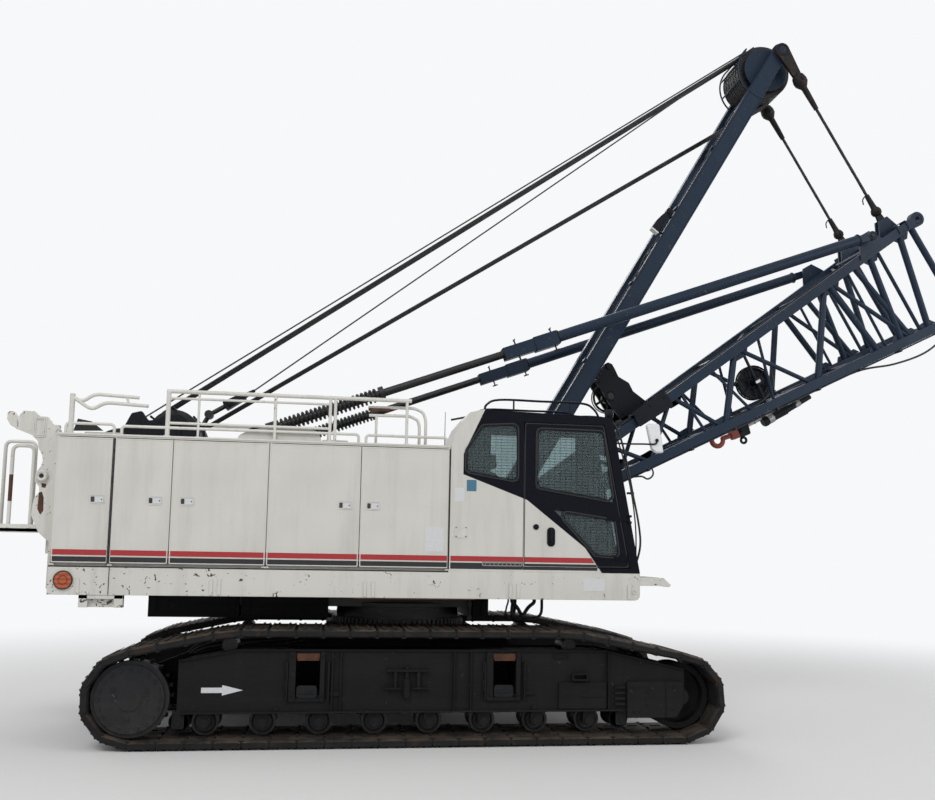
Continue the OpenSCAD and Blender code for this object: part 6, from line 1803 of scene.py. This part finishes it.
for a in (0.7, 1.6, 2.5):
    gp.tube([about(LUFF_X, LUFF_Z, 0.305, a, -0.6),
             about(LUFF_X, LUFF_Z, 0.305, a, 0.6)], 0.014, 8)
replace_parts(gp.done(bevel=0.003, segments=1, smooth=40), "gantry")

# Tension fitting ahead of the sheaves: anchor tube, bar and socket block
TENSION_Y = -0.35
tb = Piece("tension_fitting", "upper", "grease")
tb.across(-2.56, -0.635, 0.635, 3.345, 0.032, 16)
tb.tube([at(-2.56, TENSION_Y, 3.345), at(-2.425, TENSION_Y, 3.61), at(-2.23, TENSION_Y, 3.73)], 0.028, 12)
tb.across(-2.425, TENSION_Y - 0.06, TENSION_Y + 0.06, 3.61, 0.05, 18)
tb.done(smooth=45)
sb = Piece("tension_socket", "upper", "black")


def on_socket(lx, y, lz):
    return along((-2.25, 3.715), radians(31.0), lx, y, lz)


sb.prism(rounded(((0.0, -0.055), (0.27, -0.04), (0.27, 0.04), (0.0, 0.055)), 0.015, 2), TENSION_Y - 0.06,
         TENSION_Y + 0.06, on_socket)
sb.across(0.06, TENSION_Y - 0.078, TENSION_Y + 0.078, 0.0, 0.026, 14, on_socket)
sb.rod((0.25, TENSION_Y, 0.0), (0.4, TENSION_Y, 0.004), [0.034, 0.018], 14, on_socket)
sb.done(bevel=0.003, segments=1, smooth=45)


def rope_piece(name, starts_ends, r):
    p = Piece(name, None, "rope")
    for a, b in starts_ends:
        p.tube([a, b], r, 8)
    return p


def tangent_point(side_y, up):
    """Where a rope from the rear meets the head sheave, on its upper or lower side."""
    way = 1 if up else -1
    return on_mast(HEAD_X, side_y, HEAD_Z) + Vector((-0.44 * way, 0, 0.85 * way)).normalized() * SHEAVE_R


ropes = []
for k in range(4):
    # Upper falls, along the sheaves' top on the right side
    y = -0.43 + k * 0.07
    ropes.append((at(-2.945, y, 3.602), tangent_point(-0.222 + k * 0.074, True)))
for k in range(4):
    # Lower falls, from the front of the left sheaves
    y = 0.22 + k * 0.07
    ropes.append((at(-2.56, y, 3.515), tangent_point(k * 0.074, False)))
bundle = rope_piece("luffing_ropes", ropes, 0.0115)
ALONG_MAST = ("upper", "mast", tuple(at(-2.6, 0, 3.6)), tuple(on_mast(7.1, 0, 0)))
bundle.done(smooth=70, blend=ALONG_MAST)
# The single line over the lower corner of the gantry and the thin one from the tension fitting
single = rope_piece("upper_lines", [(at(-3.19, -0.5, 3.49), on_mast(7.3, -0.3, 0.39)),
                                    (on_socket(0.38, TENSION_Y, 0.004), tangent_point(-0.296, True))],
                                    0.009)
single.done(smooth=70, blend=ALONG_MAST)


# Stage, light and camera
def floor_material(color, backdrop):
    """A pale floor that takes the crane's shadow and turns to the backdrop's own tone further out."""
    m, t, p = node_tree("pale_floor")
    vec = xyz(t)[0]
    t.links.new(mix(t, noise(t, 0.8, 4.0), color, tuple(c * 0.985 for c in color)), p.inputs["Base Color"])
    p.inputs["Roughness"].default_value = 0.9
    p.inputs["Specular IOR Level"].default_value = 0.1
    length = t.nodes.new("ShaderNodeVectorMath")
    length.operation = "LENGTH"
    t.links.new(vec, length.inputs[0])
    far = t.nodes.new("ShaderNodeMapRange")
    far.inputs["From Min"].default_value = 6.0
    far.inputs["From Max"].default_value = 17.0
    far.interpolation_type = "SMOOTHSTEP"
    t.links.new(length.outputs["Value"], far.inputs["Value"])
    ray = t.nodes.new("ShaderNodeLightPath")
    seen_far = math_node(t, "MULTIPLY", far.outputs[0], ray.outputs["Is Camera Ray"])
    glow = t.nodes.new("ShaderNodeEmission")
    glow.inputs["Color"].default_value = (*backdrop, 1)
    both = t.nodes.new("ShaderNodeMixShader")
    t.links.new(seen_far, both.inputs["Fac"])
    t.links.new(p.outputs[0], both.inputs[1])
    t.links.new(glow.outputs[0], both.inputs[2])
    t.links.new(both.outputs[0], t.nodes["Material Output"].inputs["Surface"])
    return m


floor = bpy.data.meshes.new("floor")
R = 60.0
floor.from_pydata([(-R, -R, 0), (R, -R, 0), (R, R, 0), (-R, R, 0)], [], [(0, 1, 2, 3)])
floor_obj = bpy.data.objects.new("floor", floor)
floor.materials.append(floor_material((0.74, 0.73, 0.71), (0.93, 0.94, 0.95)))
bpy.context.scene.collection.objects.link(floor_obj)
floor_obj.location.z = -0.002

scene = bpy.context.scene
scene.view_settings.view_transform = "Standard"
world = bpy.data.worlds.new("studio")
scene.world = world
world.use_nodes = True
wt = world.node_tree
bg = wt.nodes["Background"]
out = wt.nodes["World Output"]
bg.inputs["Color"].default_value = (0.93, 0.95, 1.0, 1)
bg.inputs["Strength"].default_value = 0.62
back = wt.nodes.new("ShaderNodeBackground")
back.inputs["Color"].default_value = (0.93, 0.94, 0.95, 1)
back.inputs["Strength"].default_value = 1.0
path = wt.nodes.new("ShaderNodeLightPath")
seen = wt.nodes.new("ShaderNodeMath")
seen.operation = "MAXIMUM"
wt.links.new(path.outputs["Is Camera Ray"], seen.inputs[0])
wt.links.new(path.outputs["Is Transmission Ray"], seen.inputs[1])
both_rays = wt.nodes.new("ShaderNodeMath")
both_rays.operation = "MAXIMUM"
wt.links.new(seen.outputs[0], both_rays.inputs[0])
wt.links.new(path.outputs["Is Glossy Ray"], both_rays.inputs[1])
blend_bg = wt.nodes.new("ShaderNodeMixShader")
wt.links.new(both_rays.outputs[0], blend_bg.inputs["Fac"])
wt.links.new(bg.outputs[0], blend_bg.inputs[1])
wt.links.new(back.outputs[0], blend_bg.inputs[2])
wt.links.new(blend_bg.outputs[0], out.inputs["Surface"])


def area(name, location, target, size, power):
    light = bpy.data.lights.new(name, "AREA")
    light.size = size
    light.energy = power
    o = bpy.data.objects.new(name, light)
    scene.collection.objects.link(o)
    o.location = location
    o.rotation_euler = (Vector(target) - Vector(location)).to_track_quat("-Z", "Y").to_euler()


area("key", (-9, -16, 17), (0, 0, 2.5), 9.0, 1900)
area("fill", (14, -12, 8), (0, 0, 3), 10.0, 700)
area("rear", (0, 18, 14), (0, 0, 3), 10.0, 900)

CAMERA_ROWS = ((0.988253, -0.15176, 0.018008), (0.033457, 0.099869, -0.994438),
               (0.149118, 0.983359, 0.103773))
right, down, ahead = (Vector(r) for r in CAMERA_ROWS)
cam_data = bpy.data.cameras.new("camera")
cam = bpy.data.objects.new("camera", cam_data)
scene.collection.objects.link(cam)
cam.matrix_world = Matrix((
    (right.x, -down.x, -ahead.x, -1.07183 - MID),
    (right.y, -down.y, -ahead.y, -11.84784),
    (right.z, -down.z, -ahead.z, 2.079),
    (0, 0, 0, 1)))
cam_data.sensor_width = 36.0
cam_data.lens = 952.317 / 935 * 36.0
cam_data.shift_y = 50.307 / 935
scene.camera = cam
